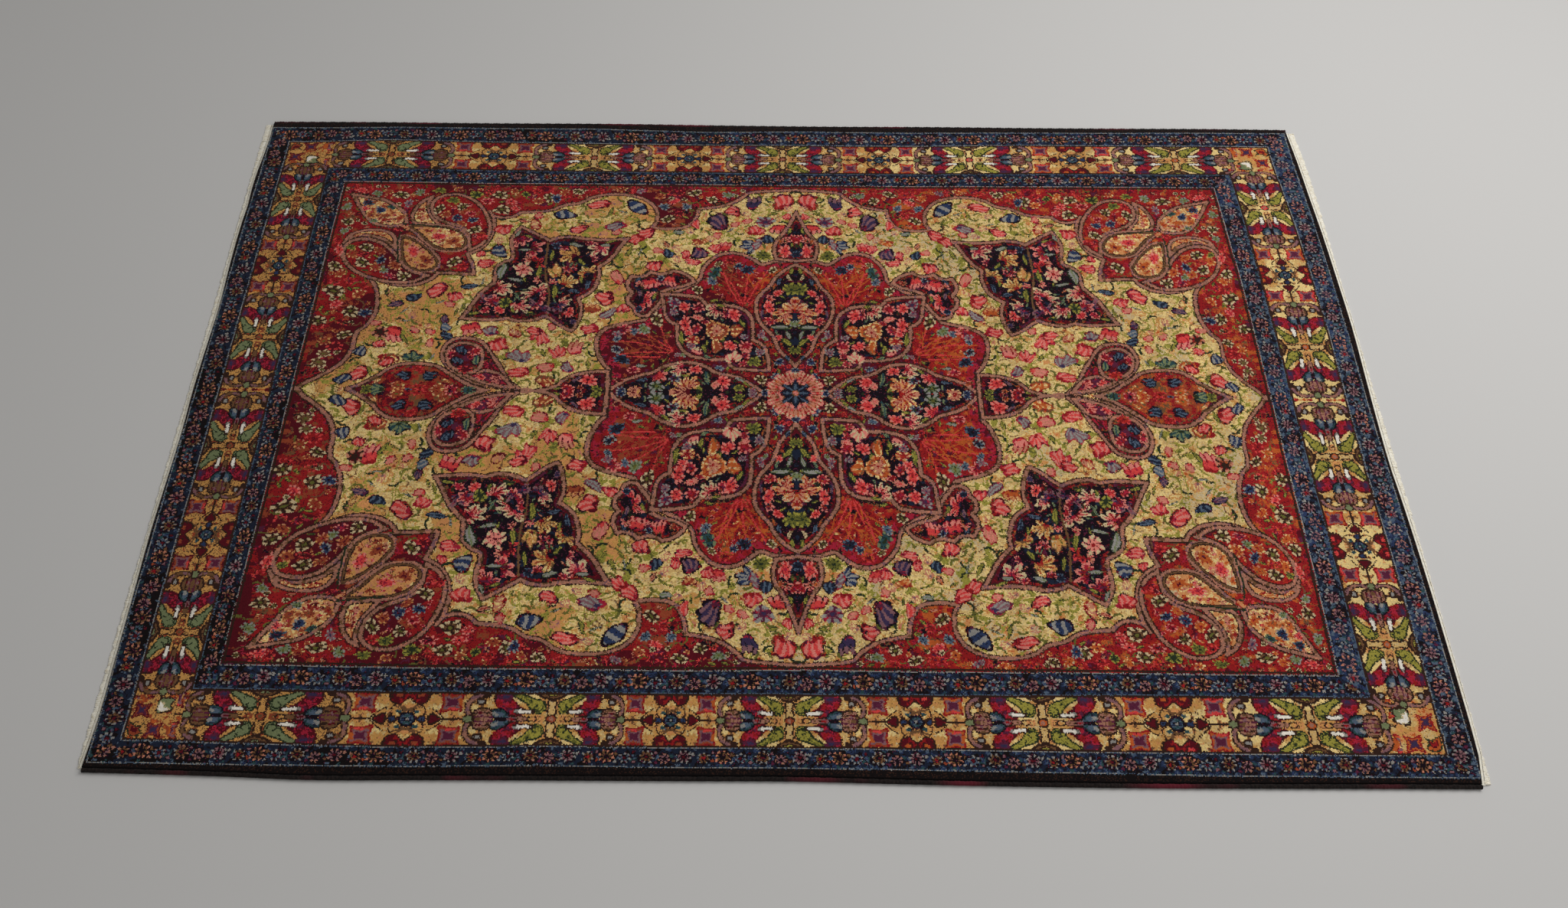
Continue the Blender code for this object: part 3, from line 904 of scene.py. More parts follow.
# %% fill the grounds
FILLINGS = (  # ground, pitch in mm, seed, and small flowers: kind, length, width, set of wools
    ("brick", 19, 3, ((daisy, 10, 10, "cream"), (leaf, 14, 6, "fern"), (rose, 10, 9, "amber"),
                      (leaf, 14, 6, "wood"), (lily, 12, 12, "flame"))),
    ("scarlet", 14, 5, ((leaf, 14, 5, "amber"), (rose, 8, 8, "berry"), (leaf, 14, 5, "fern"))),
    ("ink", 14, 9, ((leaf, 14, 5, "fern"), (lily, 12, 11, "berry"), (leaf, 13, 5, "teal"),
                    (leaf, 12, 5, "wood"), (lily, 12, 10, "petal"), (leaf, 14, 5, "fern"))),
    ("garnet", 12, 4, ((rose, 12, 10, "sage"), (rose, 10, 9, "flame"), (leaf, 12, 6, "fern"),
                       (rose, 12, 11, "mauve"), (leaf, 13, 6, "wood"))),
    ("peach", 10, 2, ((tulip, 10, 9, "amber"), (leaf, 12, 4, "wood"), (leaf, 11, 4, "coral"))),
    ("gold", 25, 8, ((leaf, 26, 4, "fern"), (peony, 18, 15, "faded"), (leaf, 24, 4, "fern"),
                     (peony, 20, 17, "pale"), (leaf, 20, 5, "fern"), (leaf, 22, 4, "sage"))),
)
small = sum(strew(field, *filling) for filling in FILLINGS)
twigs(field, "gold", 22, 12, 19, 4.0, ("olive", "pine", "moss", "olive"))
twigs(field, "gold", 19, 13, 22, 1.9, ("moss", "umber", "moss"))
twigs(field, "brick", 22, 14, 22, 2.2, ("umber", "rust", "olive"))
print("field chart:", field.squares.shape, "knots;", small, "filling flowers strewn")

# %% break the plain dyes of the field
FIELD_MIXES = (  # ground, size of the patches in mm, seed, the mix of dyes with their shares
    ("gold", 15, 1, "moss 9, straw 22, gold 28, straw 20, honey 14, peach 7"),
    ("brick", 22, 2, "orange 5, rust 8, scarlet 22, brick 38, crimson 12, garnet 14"),
    ("scarlet", 12, 3, "orange 5, rust 14, scarlet 26, brick 44, garnet 10"),
    ("crimson", 9, 9, "brick 46, crimson 36, garnet 18"),
    ("plum", 9, 10, "crimson 30, plum 54, garnet 14"),
    ("ink", 12, 4, "navy 10, ink 76, garnet 10, pine 4"),
    ("garnet", 12, 5, "plum 12, garnet 40, brick 16, rust 12, umber 6, ink 14"),
    ("peach", 9, 6, "orange 6, peach 42, straw 28, blush 18, rust 5"),
    ("rust", 10, 7, "brick 34, rust 38, orange 14, umber 12"),
    ("rosewood", 7, 8, "umber 7, rosewood 56, blush 14, mauve 9"),
)
for mix in FIELD_MIXES:
    mottle(field, *mix)
print("dyes in the field chart:", len(np.unique(field.squares)))

# %% [markdown]
# ## The main border
#
# The main border repeats a bold crossing of four curled leaves and four crimson wings, a palmette, a
# pair of square flowers and a lozenge, mirrored along and across. So only a quarter of the repeat is
# charted, 190 mm along and 42 mm across.

# %% a quarter of the border repeat
BORDER_WIDTH, GUARD_WIDTH, GUARD_REPEAT = 84, 34, 168  # mm


def closed(words):
    """A smooth closed line through points that are written as words."""
    points = places(words)
    return curve(points + points[:1], steps=4)


border = Chart(192, 43, "honey")
BORDER_FIGURES = (  # outline, ground, edge, depth of the edge
    ("-3 4, 4 5, 7 12, 5 20, 7 28, 0 31, -7 28", "gold", "bark", 1.7),
    ("-16 34, 0 31, 12 34, 18 38, 20 46, -20 46", "umber", "bark", 3.2),
    ("-12 40, 0 37, 10 40, 12 46, -14 46", "olive", "bark", 1.4),
    ("18 0, 24 5, 34 1, 34 -1, 24 -5", "honey", "bark", 1.7),
    ("8 17, 12 10, 20 8, 27 12, 31 20, 37 27, 46 33, 52 38, 50 43, 41 42, 32 37, 24 34, 15 31, 9 25",
     "olive", "pine", 2.0),
    ("38 7, 50 5, 61 9, 71 20, 77 32, 74 41, 62 44, 53 40, 53 34, 48 27, 42 21, 36 16",
     "crimson", "garnet", 2.9),
    ("52 37, 57 31, 66 32, 68 38, 58 41", "violet", "plum", 2.4),
    ("54 1, 64 0.5, 75 2, 80 6, 80 12, 75 17, 66 17, 58 12, 54 6", "teal", "ink", 2.0),
    ("75 -3, 76 10, 81 17, 90 18, 98 16, 103 9, 104 -3", "rosewood", "bark", 2.4),
    ("116 12, 129 14, 144 11, 142 26, 144 42, 129 39, 116 42, 118 26", "rust", "brick", 2.0),
    ("121 18, 130 20, 140 16, 138 26, 140 36, 129 33, 119 36, 122 26", "plum", "mauve", 1.7),
    ("171 0, 177 6, 182 11, 192 11, 200 8, 200 -8, 182 -11, 177 -6", "navy", "ink", 2.2),
    ("160 0, 166 6, 173 1, 173 -1, 166 -6", "indigo", "bark", 1.6),
    ("140 0, 150 7, 157 9, 159 3, 159 -3, 150 -6", "garnet", "bark", 2.0),
    ("160 47, 160 33, 166 25, 174 23, 180 28, 186 33, 196 30, 196 47", "garnet", "bark", 1.7),
    ("182 47, 183 41, 190 37, 198 41, 199 47", "honey", "bark", 1.7),
)
for words, ground, edge, depth in BORDER_FIGURES:
    shape(border, closed(words), ground, ((-0.7, depth, edge),))

# %% its lines and small marks
BORDER_LINES = (  # places, width, dye
    ("27 12, 46 13", 8.4, "bark"), ("41 12.6, 47 13", 4.8, "mist"), ("29 12, 42 12.6", 5.4, "chalk"),
    ("27 22, 36 31, 46 38", 2.0, "moss"), ("11 20, 14 14, 20 13, 24 18, 20 23", 2.0, "pine"),
    ("16 17, 19 18", 3.0, "moss"), ("34 4, 54 5", 2.0, "bark"), ("34 0, 56 0", 5.0, "rosewood"),
    ("44 0, 54 0", 2.0, "garnet"), ("76 3, 88 4, 102 3", 2.2, "plum"),
    ("78 9, 88 10, 100 9", 2.2, "garnet"), ("104 2, 109 12, 109 24, 103 34, 94 39, 85 38", 9.4, "bark"),
    ("105 4, 109 13, 109 24, 103 33, 94 38", 5.0, "rosewood"), ("92 28, 94 28", 12.0, "bark"),
    ("92 28, 94 28", 6.0, "mist"), ("106 0, 109 0", 14.0, "bark"), ("107 0, 109 0", 9.0, "sage"),
    ("115 0, 140 0", 2.0, "bark"), ("140 3, 150 13, 158 18", 2.0, "bark"),
    ("166 4, 164 14, 168 22", 2.2, "bark"), ("176 8, 180 16, 190 16", 2.2, "bark"),
    ("172 12, 176 12", 4.0, "teal"), ("168 20, 178 17, 192 18", 1.8, "umber"),
    ("64 7, 74 9", 6.4, "denim"), ("71 7, 75 9", 4.8, "mist"), ("118 24, 120 31", 5.0, "orange"),
    ("123 16, 133 17", 3.4, "coral"), ("170 38, 174 38", 5.0, "rust"), ("182 5, 190 6", 4.0, "teal"),
    ("186 0, 192 0", 8.0, "ink"), ("186 0, 192 0", 4.6, "mist"), ("0 0, 1 0", 14.5, "bark"),
    ("0 0, 1 0", 10.0, "rust"), ("0 0, 1 0", 5.0, "rosewood"),
)
for words, width, dye in BORDER_LINES:
    stroke(border, outline(words), width, dye)
print("border chart:", border.squares.shape, "knots,", len(BORDER_FIGURES), "figures")

# %% the square at the border's corner
corner = Chart(BORDER_WIDTH, BORDER_WIDTH, "honey")
CORNER_FIGURES = (
    ("54 22, 66 26, 79 21, 76 35, 80 49, 66 45, 53 50, 57 36", "rust", "brick", 2.2),
    ("59 27, 67 30, 75 26, 72 35, 75 44, 66 41, 58 45, 62 36", "violet", "plum", 2.0),
    ("29 55, 42 59, 55 55, 52 68, 56 81, 42 78, 29 82, 32 68", "rust", "brick", 2.2),
    ("34 60, 42 63, 50 60, 48 68, 51 76, 42 74, 34 77, 37 68", "violet", "plum", 2.0),
    ("58 58, 68 62, 80 55, 82 66, 78 78, 66 80, 58 74, 63 67", "rust", "pine", 2.4),
    ("64 64, 70 66, 76 62, 76 70, 70 74, 66 72", "brick", "garnet", 1.4),
    ("19 17, 30 13, 44 15, 47 28, 44 41, 32 40, 21 34, 24 26", "sage", "bark", 2.6),
    ("34 18, 38 23, 43 18, 43 37, 29 37, 26 32, 35 29", "chalk", "cream", 1.2),
    ("10 62, 18 60, 22 70, 16 80, 8 76", "orange", "rust", 2.0),
)
for words, ground, edge, depth in CORNER_FIGURES:
    shape(corner, closed(words), ground, ((0, depth, edge),))
print("corner chart:", corner.squares.shape, "knots,", len(CORNER_FIGURES), "figures")

# %% [markdown]
# ## The guard stripes
#
# A dark blue stripe of small flowers guards the border on each side. Each flower is a ring of thin
# petals on a round black ground, with small buds and blue leaves between them.

# %% a repeat of the guard stripe
guard = Chart(GUARD_REPEAT, GUARD_WIDTH, "navy")
GUARD_FLOWERS = (  # place, size, petals, dye of the petals, of their tips and of the heart
    (14, 16, 24, 8, "umber", "mist", "garnet"), (40, 19, 19, 7, "mauve", "rosewood", "ink"),
    (68, 16, 24, 8, "mauve", "mist", "garnet"), (97, 18, 20, 7, "umber", "mist", "brick"),
    (124, 16, 24, 8, "umber", "blush", "ink"), (150, 18, 19, 7, "denim", "mist", "garnet"))
for x, y, size, petals, dye, tip, eye in GUARD_FLOWERS:
    motif(guard, disc, x, y, size, size * 0.9, 0, ("ink",))
    for k in range(petals):
        a = 2 * math.pi * (k + 0.3) / petals
        for reach, length, shade in ((0.31, 0.28, dye), (0.41, 0.14, tip)):
            motif(guard, disc, x + size * reach * math.cos(a), y + 0.9 * size * reach * math.sin(a),
                  size * length, 3.0, math.degrees(a), (shade,))
    motif(guard, disc, x, y, 5, 4.6, 0, (eye,))
for x, y, dye in ((27, 10, "mauve"), (28, 25, "plum"), (54, 22, "umber"), (82, 12, "mist"), (110, 22, "rust"),
                  (111, 9, "mauve"), (138, 12, "umber"), (137, 24, "mist"), (163, 10, "garnet"),
                  (164, 24, "mauve")):
    motif(guard, disc, x, y, 7.4, 6.4, 0, ("ink",))
    motif(guard, disc, x, y, 4.6, 4.2, 0, (dye,))
for x, y, turn in ((4, 6, 20), (30, 17, -60), (46, 5, 10), (57, 16, 60), (60, 29, 10), (84, 5, -20),
                   (88, 18, 70), (112, 16, 50), (106, 29, 20), (136, 5, 15), (140, 19, -60), (152, 30, -10),
                   (164, 17, 70), (22, 30, -15), (2, 28, 20)):
    motif(guard, leaf, x, y, 10, 5, turn, ("indigo", "denim", "indigo"))
print("guard chart:", guard.squares.shape, "knots,", len(GUARD_FLOWERS), "flowers")

# %% break the plain dyes of the border
BORDER_MIXES = (  # chart, ground, size of the patches in mm, the mix of dyes with their shares
    (guard, "navy", 7, "soot 14, ink 12, navy 56, indigo 12, teal 6"),
    (border, "honey", 9, "umber 7, peach 9, honey 48, gold 24, straw 12"),
    (border, "rosewood", 7, "umber 16, rosewood 54, mauve 28"),
    (border, "olive", 7, "pine 5, olive 28, moss 66"),
    (border, "crimson", 7, "plum 20, garnet 16, crimson 38, brick 26"),
    (border, "navy", 7, "indigo 26, navy 34, teal 28, ink 12"),
    (border, "teal", 7, "navy 24, teal 56, denim 18"),
    (border, "garnet", 7, "bark 16, garnet 56, brick 26"),
    (corner, "honey", 9, "orange 5, peach 18, honey 56, gold 18"),
)
for chart, ground, size, mix in BORDER_MIXES:
    mottle(chart, ground, size, 20, mix)
print("dyes in the border and guard charts:", len(np.unique(border.squares)), len(np.unique(guard.squares)))

# %% [markdown]
# ## Reading the charts onto the loom
#
# The stripes wander on a real rug, because its edges were woven over months. Each row of a table is for
# one place along a side. It has that place, and how far from the rug's middle the field, the inner
# guard, the main border and the outer guard end there, all in millimetres.

# %% where the stripes run
def table(text):
    return np.array([[float(v) for v in row.split()] for row in text.strip().splitlines()]).T


BACK_STRIPES = table("""
-930 520 557 628 672
-750 520 558 636 676
-550 518 556 632 675
-350 519 554 630 676
-150 520 555 629 669
50 520 554 630 673
250 520 555 630 672
450 522 559 636 675
650 523 560 637 677
850 524 562 638 680
""")
FRONT_STRIPES = table("""
-930 514 557 637 676
-750 514 557 641 677
-550 516 558 644 677
-350 516 557 640 673
-150 516 557 640 674
50 513 556 639 673
250 514 555 639 674
450 513 552 640 676
650 513 551 640 678
850 513 551 640 677
""")
LEFT_STRIPES = table("""
-600 841 874 956 1001
-450 840 873 957 1001
-300 838 872 957 1001
-150 836 871 957 1001
0 835 871 957 1000
150 833 871 957 1000
300 832 870 957 1000
450 830 869 956 1000
600 829 868 955 998
""")
RIGHT_STRIPES = table("""
-600 834 877 964 1005
-450 836 877 966 1006
-300 838 877 966 1006
-150 838 876 965 1005
0 839 876 966 1004
150 839 877 969 1006
300 838 876 968 1006
450 833 874 964 1004
600 829 868 955 999
""")
print("rows in the tables of the long sides:", len(BACK_STRIPES[0]), "and of the ends:", len(LEFT_STRIPES[0]))

# %% where the figures of the border and the field come
# places along each side, and what of the border's repeat comes there: a crossing at 0, a lozenge at 186,
# back-to-back palmettes at 118
ALONG_FRONT = ((-896, -764, -548, -336, -161, 13, 199, 385, 581, 778, 908),
               (132, 0, 186, 0, 186, 0, 186, 0, 186, 0, 130))
ALONG_BACK = ((-885, -753, -552, -357, -173, 8, 195, 370, 570, 770, 900),
              (132, 0, 186, 0, 186, 0, 186, 0, 186, 0, 130))
ALONG_SIDES = ((-583, -460, -284, -108, 11, 129, 300, 472, 585), (132, 0, 186, 0, 118, 0, 186, 0, 130))
# places on the rug, and the columns and rows of the field's chart that come there, in mm
FIELD_X = ((-828, -742, -588, -567, -434, -323, -263, 28, 296, 368, 455, 603, 772, 830),
           (830, 760, 614, 594, 470, 353, 299, 0, 281, 353, 445, 594, 760, 830))
FIELD_Y = ((-514, -452, -396, -374, 15, 176, 382, 452, 516), (515, 448, 393, 369, 0, 170, 369, 448, 515))
print("figures placed along the front, the back and the ends:", len(ALONG_FRONT[0]), len(ALONG_BACK[0]),
      len(ALONG_SIDES[0]))

# %% how far out a knot is
PAST_THE_EDGE = 14  # mm of one step beyond the outer guard
INSIDE_THE_FIELD = 100  # mm of one step in the field


def level(rows, along, across):
    """How far out a knot is, in stripes: 0 where the field ends, 1, 2, 3 where the stripes end."""
    edges = [np.interp(along, rows[0], row) for row in rows[1:]]
    widths = [far - near for near, far in zip(edges, edges[1:])] + [PAST_THE_EDGE]
    n = (across - edges[0]) / INSIDE_THE_FIELD
    for number, (near, width) in enumerate(zip(edges, widths)):
        n = np.where(across > near, number + (across - near) / width, n)
    return n


def read(chart, x, y):
    rows, cols = chart.squares.shape
    i = np.clip((x / KNOT).astype(int), 0, cols - 1)
    j = np.clip((y / KNOT).astype(int), 0, rows - 1)
    return chart.squares[j, i]


def relot(dyes, where, amount, lots):
    """Knot another lot of wool here and there: each row is a dye, its other lot, and above which amount."""
    for usual, lot, least in lots:
        dyes = np.where(where & (dyes == DYE[usual]) & (amount > least), DYE[lot], dyes)
    return dyes

# %% other lots of wool, with painted shade and painted sheen
LEFT_HALF_LOTS_AND_SHADE = (("scarlet", "brick", 0), ("rust", "garnet", 0.55), ("orange", "rust", 0),
                  ("straw", "honey", 0.8), ("gold", "peach", 0.92), ("brick", "garnet", 0.78))
GUARD_PAINTED_SHEEN = (("indigo", "denim", 0.3), ("navy", "indigo", 0.8), ("umber", "mauve", 0),
                   ("rust", "rosewood", 0), ("ink", "navy", 0.9), ("garnet", "mauve", 0))
GUARD_PAINTED_SHADE = (("indigo", "navy", 0.4), ("mist", "rosewood", 0.9), ("navy", "soot", 1.0))
LEFT_BORDER_LOTS_AND_SHADE = (("olive", "sage", 0), ("moss", "sage", 0), ("gold", "honey", 0), ("straw", "honey", 0),
                    ("peach", "rust", 0), ("rosewood", "umber", 0), ("brick", "garnet", 0))
RIGHT_BORDER_LOTS_AND_SHEEN = (("rust", "coral", 0.8), ("rust", "orange", 0), ("honey", "gold", 0.7),
                     ("gold", "straw", 0.8), ("olive", "moss", 0.6))
DARK_KNOTS = (("honey", "umber", 0.8), ("brick", "garnet", 0.5), ("scarlet", "garnet", 0.6),
              ("gold", "umber", 0.8), ("moss", "olive", 0.5), ("coral", "crimson", 0.6),
              ("indigo", "soot", 0.6))
LIGHT_KNOTS = (("gold", "cream", 0.6), ("straw", "cream", 0.5), ("ink", "plum", 0.7))
LINES = (  # how far out, half the width, dye
    (-0.03, 0.02, "bark"), (0.03, 0.018, "mist"), (0.95, 0.024, "denim"), (0.99, 0.035, "bark"),
    (2.01, 0.03, "bark"), (2.06, 0.022, "denim"), (2.06, 0.011, "mist"), (2.95, 0.024, "denim"),
    (2.95, 0.011, "mist"),
)
print("other lots of wool in the left half:", [lot for _, lot, _ in LEFT_HALF_LOTS_AND_SHADE])

# %% the dye of every knot
# the border's dyes change at these places: other lots of wool, with painted shade at the left end and painted
# sheen at the right
LEFT_END, RIGHT_END = -640, 180  # mm along the rug, where the lots of the border change
CORNER_REACH = 126  # mm of the border's repeat that its corner may show


def weave(px, py):
    """The dye of every knot from its place on the rug, in mm from the rug's middle."""
    slip = np.random.default_rng(7).normal(0, 0.45, (2,) + px.shape)  # no weaver ties to a hair
    px, py = px + slip[0], py + slip[1]
    sides = np.stack([level(FRONT_STRIPES, px, -py), level(BACK_STRIPES, px, py),
                      level(LEFT_STRIPES, py, -px), level(RIGHT_STRIPES, py, px)])
    out, which = sides.max(axis=0), sides.argmax(axis=0)
    at_end = which > 1
    in_inner_guard, in_border, in_outer_guard = [(out >= low) & (out < low + 1) for low in range(3)]

    # the field is not true either: where its chart's columns and rows lie on the rug
    even = np.interp(px, (-828, 33, 830), (830, 0, 830))
    drawn = np.interp(px, *FIELD_X)
    field_x = drawn + (even - drawn) * np.clip((py - 180) / 190, 0, 1)
    field_y = np.interp(py, *FIELD_Y)
    dyes = read(field, np.clip(field_x, 0, FIELD_LENGTH - 1), np.clip(field_y, 0, FIELD_WIDTH - 1))

    # the left half has deeper reds and tan patches in the gold, partly other lots of wool and partly painted
    # shade that darkens the left half; cream patches in the gold of the right half are partly wear and partly
    # painted sheen
    patch = clouds(*px.shape, 80, 40) + 0.5 * clouds(*px.shape, 24, 41)
    left_half = px < -90 + 60 * np.sin(py / 110)
    dyes = relot(dyes, left_half, patch, LEFT_HALF_LOTS_AND_SHADE)
    dyes = relot(dyes, ~left_half, patch, (("straw", "cream", 0.96),))

    # the guards: greyer and lighter at the right end, which is painted sheen, and darker at the left, which
    # is painted shade
    along = np.where(at_end, py, px)
    for low, here, shift in ((0, in_inner_guard, 0.0), (2, in_outer_guard, 40.0)):
        repeat = (along + shift + 37 * which) % GUARD_REPEAT
        dyes = np.where(here, read(guard, repeat, (out - low) * GUARD_WIDTH), dyes)
    sheen_lit = (which == 3) & (in_outer_guard | in_inner_guard)
    shaded = (which != 3) & (px < -100) & in_outer_guard | (which == 2) & in_inner_guard
    dyes = relot(dyes, sheen_lit, patch, GUARD_PAINTED_SHEEN)
    dyes = relot(dyes, shaded, patch, GUARD_PAINTED_SHADE)

    # the main border, along the long sides and along the ends
    run_x = np.where(py < 0, np.interp(px, *ALONG_FRONT), np.interp(px, *ALONG_BACK))
    run_y = np.interp(py, *ALONG_SIDES)
    across_long, across_end = np.maximum(sides[0], sides[1]) - 1, np.maximum(sides[2], sides[3]) - 1
    off_long, off_end = (np.abs(across - 0.5) * BORDER_WIDTH for across in (across_long, across_end))
    run_long, run_end = read(border, run_x, off_long), read(border, run_y, off_end)
    dyes = np.where(in_border, np.where(at_end, run_end, run_long), dyes)

    # its corners: the square, with the last figures of both runs reaching into it
    in_corner = in_border & (across_long > 0) & (across_end > 0)
    square = read(corner, np.clip(across_end, 0, 1) * BORDER_WIDTH, np.clip(across_long, 0, 1) * BORDER_WIDTH)
    grounds = [DYE[name] for name in ("honey", "straw", "gold", "peach", "orange")]
    dyes = np.where(in_corner, square, dyes)
    for run, place, off, inward in ((run_long, run_x, off_long, across_end < 0.29),
                                    (run_end, run_y, off_end, across_long < 0.2)):
        near = in_corner & inward & (place < CORNER_REACH) & (off < BORDER_WIDTH / 2)
        dyes = np.where(near & ~np.isin(run, grounds), run, dyes)
    on_tulip = in_corner & (np.abs(across_end - 0.39) < 0.18) & (np.abs(across_long - 0.33) < 0.19)
    dyes = np.where(on_tulip & ~np.isin(square, grounds[:4]), square, dyes)

    # the weaver ran out of olive at the left end and went on in sage; the darker tans there are painted
    # shade, and the lighter border dyes at the right end are painted sheen
    dyes = relot(dyes, in_border & (px < LEFT_END), 1, LEFT_BORDER_LOTS_AND_SHADE)
    dyes = relot(dyes, in_border & (px > RIGHT_END), patch, RIGHT_BORDER_LOTS_AND_SHEEN)

    # odd knots of a darker or a lighter lot, as in any hand-dyed wool; the extra umber knots at the left end
    # are painted shade
    odd = slip[1]
    dyes = relot(dyes, px < LEFT_END, odd, (("honey", "umber", 0.35),))
    dyes = relot(dyes, True, odd, DARK_KNOTS)
    dyes = relot(dyes, True, -odd, LIGHT_KNOTS)

    # lines between the stripes, and the dark edging
    for place, half, dye in LINES:
        dyes = np.where(np.abs(out - place) < half, DYE[dye], dyes)
    edging = np.where(slip[0] > 0.4, DYE["bark"], DYE["soot"])
    return np.where(out > 2.98, edging, dyes).astype(np.uint8)

# %% [markdown]
# ## The cloth as one sheet
#
# The cloth is a slab 8 mm thick: pile on top, the backs of the knots below. Modelling a million tufts
# would choke any computer, and a picture laid on a plane would not be a woven thing. So the cloth is a
# grid of faces, and each face carries a small block of knots, 4 wide and 9 deep. The grid is fitted to
# the uneven outline, so the knots crowd or spread with the edges as they do on the loom. The same few
# steps come back for every piece, so they are helpers.

# %% helpers for modelling by hand
def deselect():
    """Leave edit mode and select nothing: the next operator must not act on the CAD nodes."""
    if bpy.context.object and bpy.context.object.mode != "OBJECT":
        bpy.ops.object.mode_set(mode="OBJECT")
    bpy.ops.object.select_all(action="DESELECT")


def new_piece(name):
    """Name the piece that was just added."""
    piece = bpy.context.object
    piece.name = piece.data.name = name
    return piece


def edit_all(kind):
    """Go to edit mode with every edge or face selected."""
    bpy.ops.object.mode_set(mode="EDIT")
    bpy.ops.mesh.select_mode(type=kind)
    bpy.ops.mesh.select_all(action="SELECT")


def face_outwards():
    """Go to edit mode and turn every face outwards."""
    bpy.ops.object.mode_set(mode="EDIT")
    bpy.ops.mesh.select_all(action="SELECT")
    bpy.ops.mesh.normals_make_consistent(inside=False)


def leave_edit():
    bpy.ops.object.mode_set(mode="OBJECT")


def smooth(degrees):
    bpy.ops.object.shade_smooth_by_angle(angle=math.radians(degrees))


def set_in_a_row(piece, count, step, merge=None):
    """Repeat a piece, step metres apart, and join the ends that lie closer than merge."""
    row = piece.modifiers.new("row", "ARRAY")
    row.count = count
    row.use_relative_offset = False
    row.use_constant_offset = True
    row.constant_offset_displace = (step, 0, 0)
    if merge:
        row.use_merge_vertices = True
        row.merge_threshold = merge
    bpy.ops.object.modifier_apply(modifier="row")


def read_all(items, name, width=3, kind=np.float32):
    """A property of all points, corners or faces as an array, one row for each."""
    values = np.empty((len(items), width), kind)
    items.foreach_get(name, values.ravel())
    return values


def read_points(mesh):
    return read_all(mesh.vertices, "co").astype(float)


def write_points(mesh, points):
    mesh.vertices.foreach_set("co", np.asarray(points, np.float32).ravel())
    mesh.update()


def settle(u, v, hem=0.0):
    """The place at shares u and v of the cloth's length and width, hem metres in from its edges."""
    x, y = (u - 0.5) * 2.0, (v - 0.5) * 1.36  # a first guess, which four rounds make exact
    for _ in range(4):
        left, right = hem - np.interp(y, *LEFT), np.interp(y, *RIGHT) - hem
        x = left + (right - left) * u
        front, back = hem - np.interp(x, *FRONT), np.interp(x, *BACK) - hem
        y = front + (back - front) * v
    return x, y

# %% lay the grid of the pile
COLS, ROWS = 1256, 855  # squares of the chart across the whole rug
WIDE, DEEP = 4, 9  # squares in one face
HEM = 0.0015  # metres, the clipped rim round the pile
RELIEF = 0.0005  # metres, how deep the pile is worn

deselect()
bpy.ops.mesh.primitive_grid_add(
    x_subdivisions=COLS // WIDE, y_subdivisions=ROWS // DEEP, size=1.0, location=(0, 0, 0)
)
pile = new_piece("rug_pile")
shares = read_points(pile.data)[:, :2] + 0.5
x, y = settle(shares[:, 0], shares[:, 1], HEM)
uneven = 0.5 + 0.25 * (np.sin(31 * x + 2 * np.sin(17 * y)) + np.sin(27 * y + 2 * np.sin(13 * x)))
on_edge = np.minimum(shares, 1 - shares).min(axis=1) < 1e-5
uneven = np.where(on_edge, 0, uneven)
write_points(pile.data, np.column_stack([x, y, CLOTH_TOP - RELIEF * uneven]))
print(len(pile.data.polygons), "faces of", WIDE * DEEP, "knots each")

# %% [markdown]
# ## Every knot its dye
#
# The place of every knot is looked up on the charts. Four dye numbers fit in one number, six bits for
# each, so nine numbers hold a face's whole block. They are kept on the faces as three vectors, and the
# finish unpacks them again. A colour on each corner could not show knots finer than the faces.

# %% look up the dyes and keep them on the faces
DYE_STEP = 64  # six bits for each dye number
ROWS_HELD = 3  # rows of a block that one vector holds
DESIGN_SHIFT = (5.2, -1.0)  # mm, from the middle of the cloth to the middle that the tables use

col, row = np.meshgrid(np.arange(COLS), np.arange(ROWS))
x, y = settle((col + 0.5) / COLS, (row + 0.5) / ROWS)
dyes = weave(x * 1000 + DESIGN_SHIFT[0], y * 1000 + DESIGN_SHIFT[1]).astype(np.int64)
blocks = dyes.reshape(ROWS // DEEP, DEEP, COLS // WIDE, WIDE)
packed = (blocks * DYE_STEP ** np.arange(WIDE)).sum(axis=-1).transpose(0, 2, 1).reshape(-1, DEEP)
pile_faces = len(pile.data.polygons)
for part in range(DEEP // ROWS_HELD):
    knots = pile.data.attributes.new(f"knots_{part}", "FLOAT_VECTOR", "FACE")
    held = packed[:, ROWS_HELD * part:ROWS_HELD * (part + 1)]
    knots.data.foreach_set("vector", held.astype(np.float32).ravel())
print("knots in the chart:", dyes.size, "in", len(np.unique(dyes)), "dyes")

# %% [markdown]
# ## Two maps on the cloth
#
# The map "block" gives every face its own unit square, so the finish knows which knot of the block it
# is at. The map "OFBake" spreads the whole rug on one sheet for the export: the pile large at the top,
# the back smaller below, and the rim in a strip between.

# %% give each face its square
block_map = pile.data.uv_layers[0] if pile.data.uv_layers else pile.data.uv_layers.new(name="block")
block_map.name = "block"
steps = np.round(shares * (COLS // WIDE, ROWS // DEEP))
corner_step = steps[read_all(pile.data.loops, "vertex_index", 1, np.int32)[:, 0]].reshape(-1, 4, 2)
in_face = corner_step - corner_step.min(axis=1, keepdims=True)
block_map.data.foreach_set("uv", in_face.astype(np.float32).ravel())
print("corners mapped:", in_face.shape[0] * in_face.shape[1])

# %% turn the rim down and close the back
RIM = ((0.0003, 0.55), (0.0012, 0.45), (CLOTH_TOP - 0.0015, 0.0))  # steps down and shares of the hem outwards
HALF_LENGTH, HALF_WIDTH = 1.003, 0.682  # metres, of the pile


def widen(share):
    """Spread what is selected by a share of the hem on every side."""
    grow = [1 + ((1 + HEM / half) - 1) * share for half in (HALF_LENGTH, HALF_WIDTH)]
    bpy.ops.transform.resize(value=(*grow, 1), center_override=(0, 0, 0))


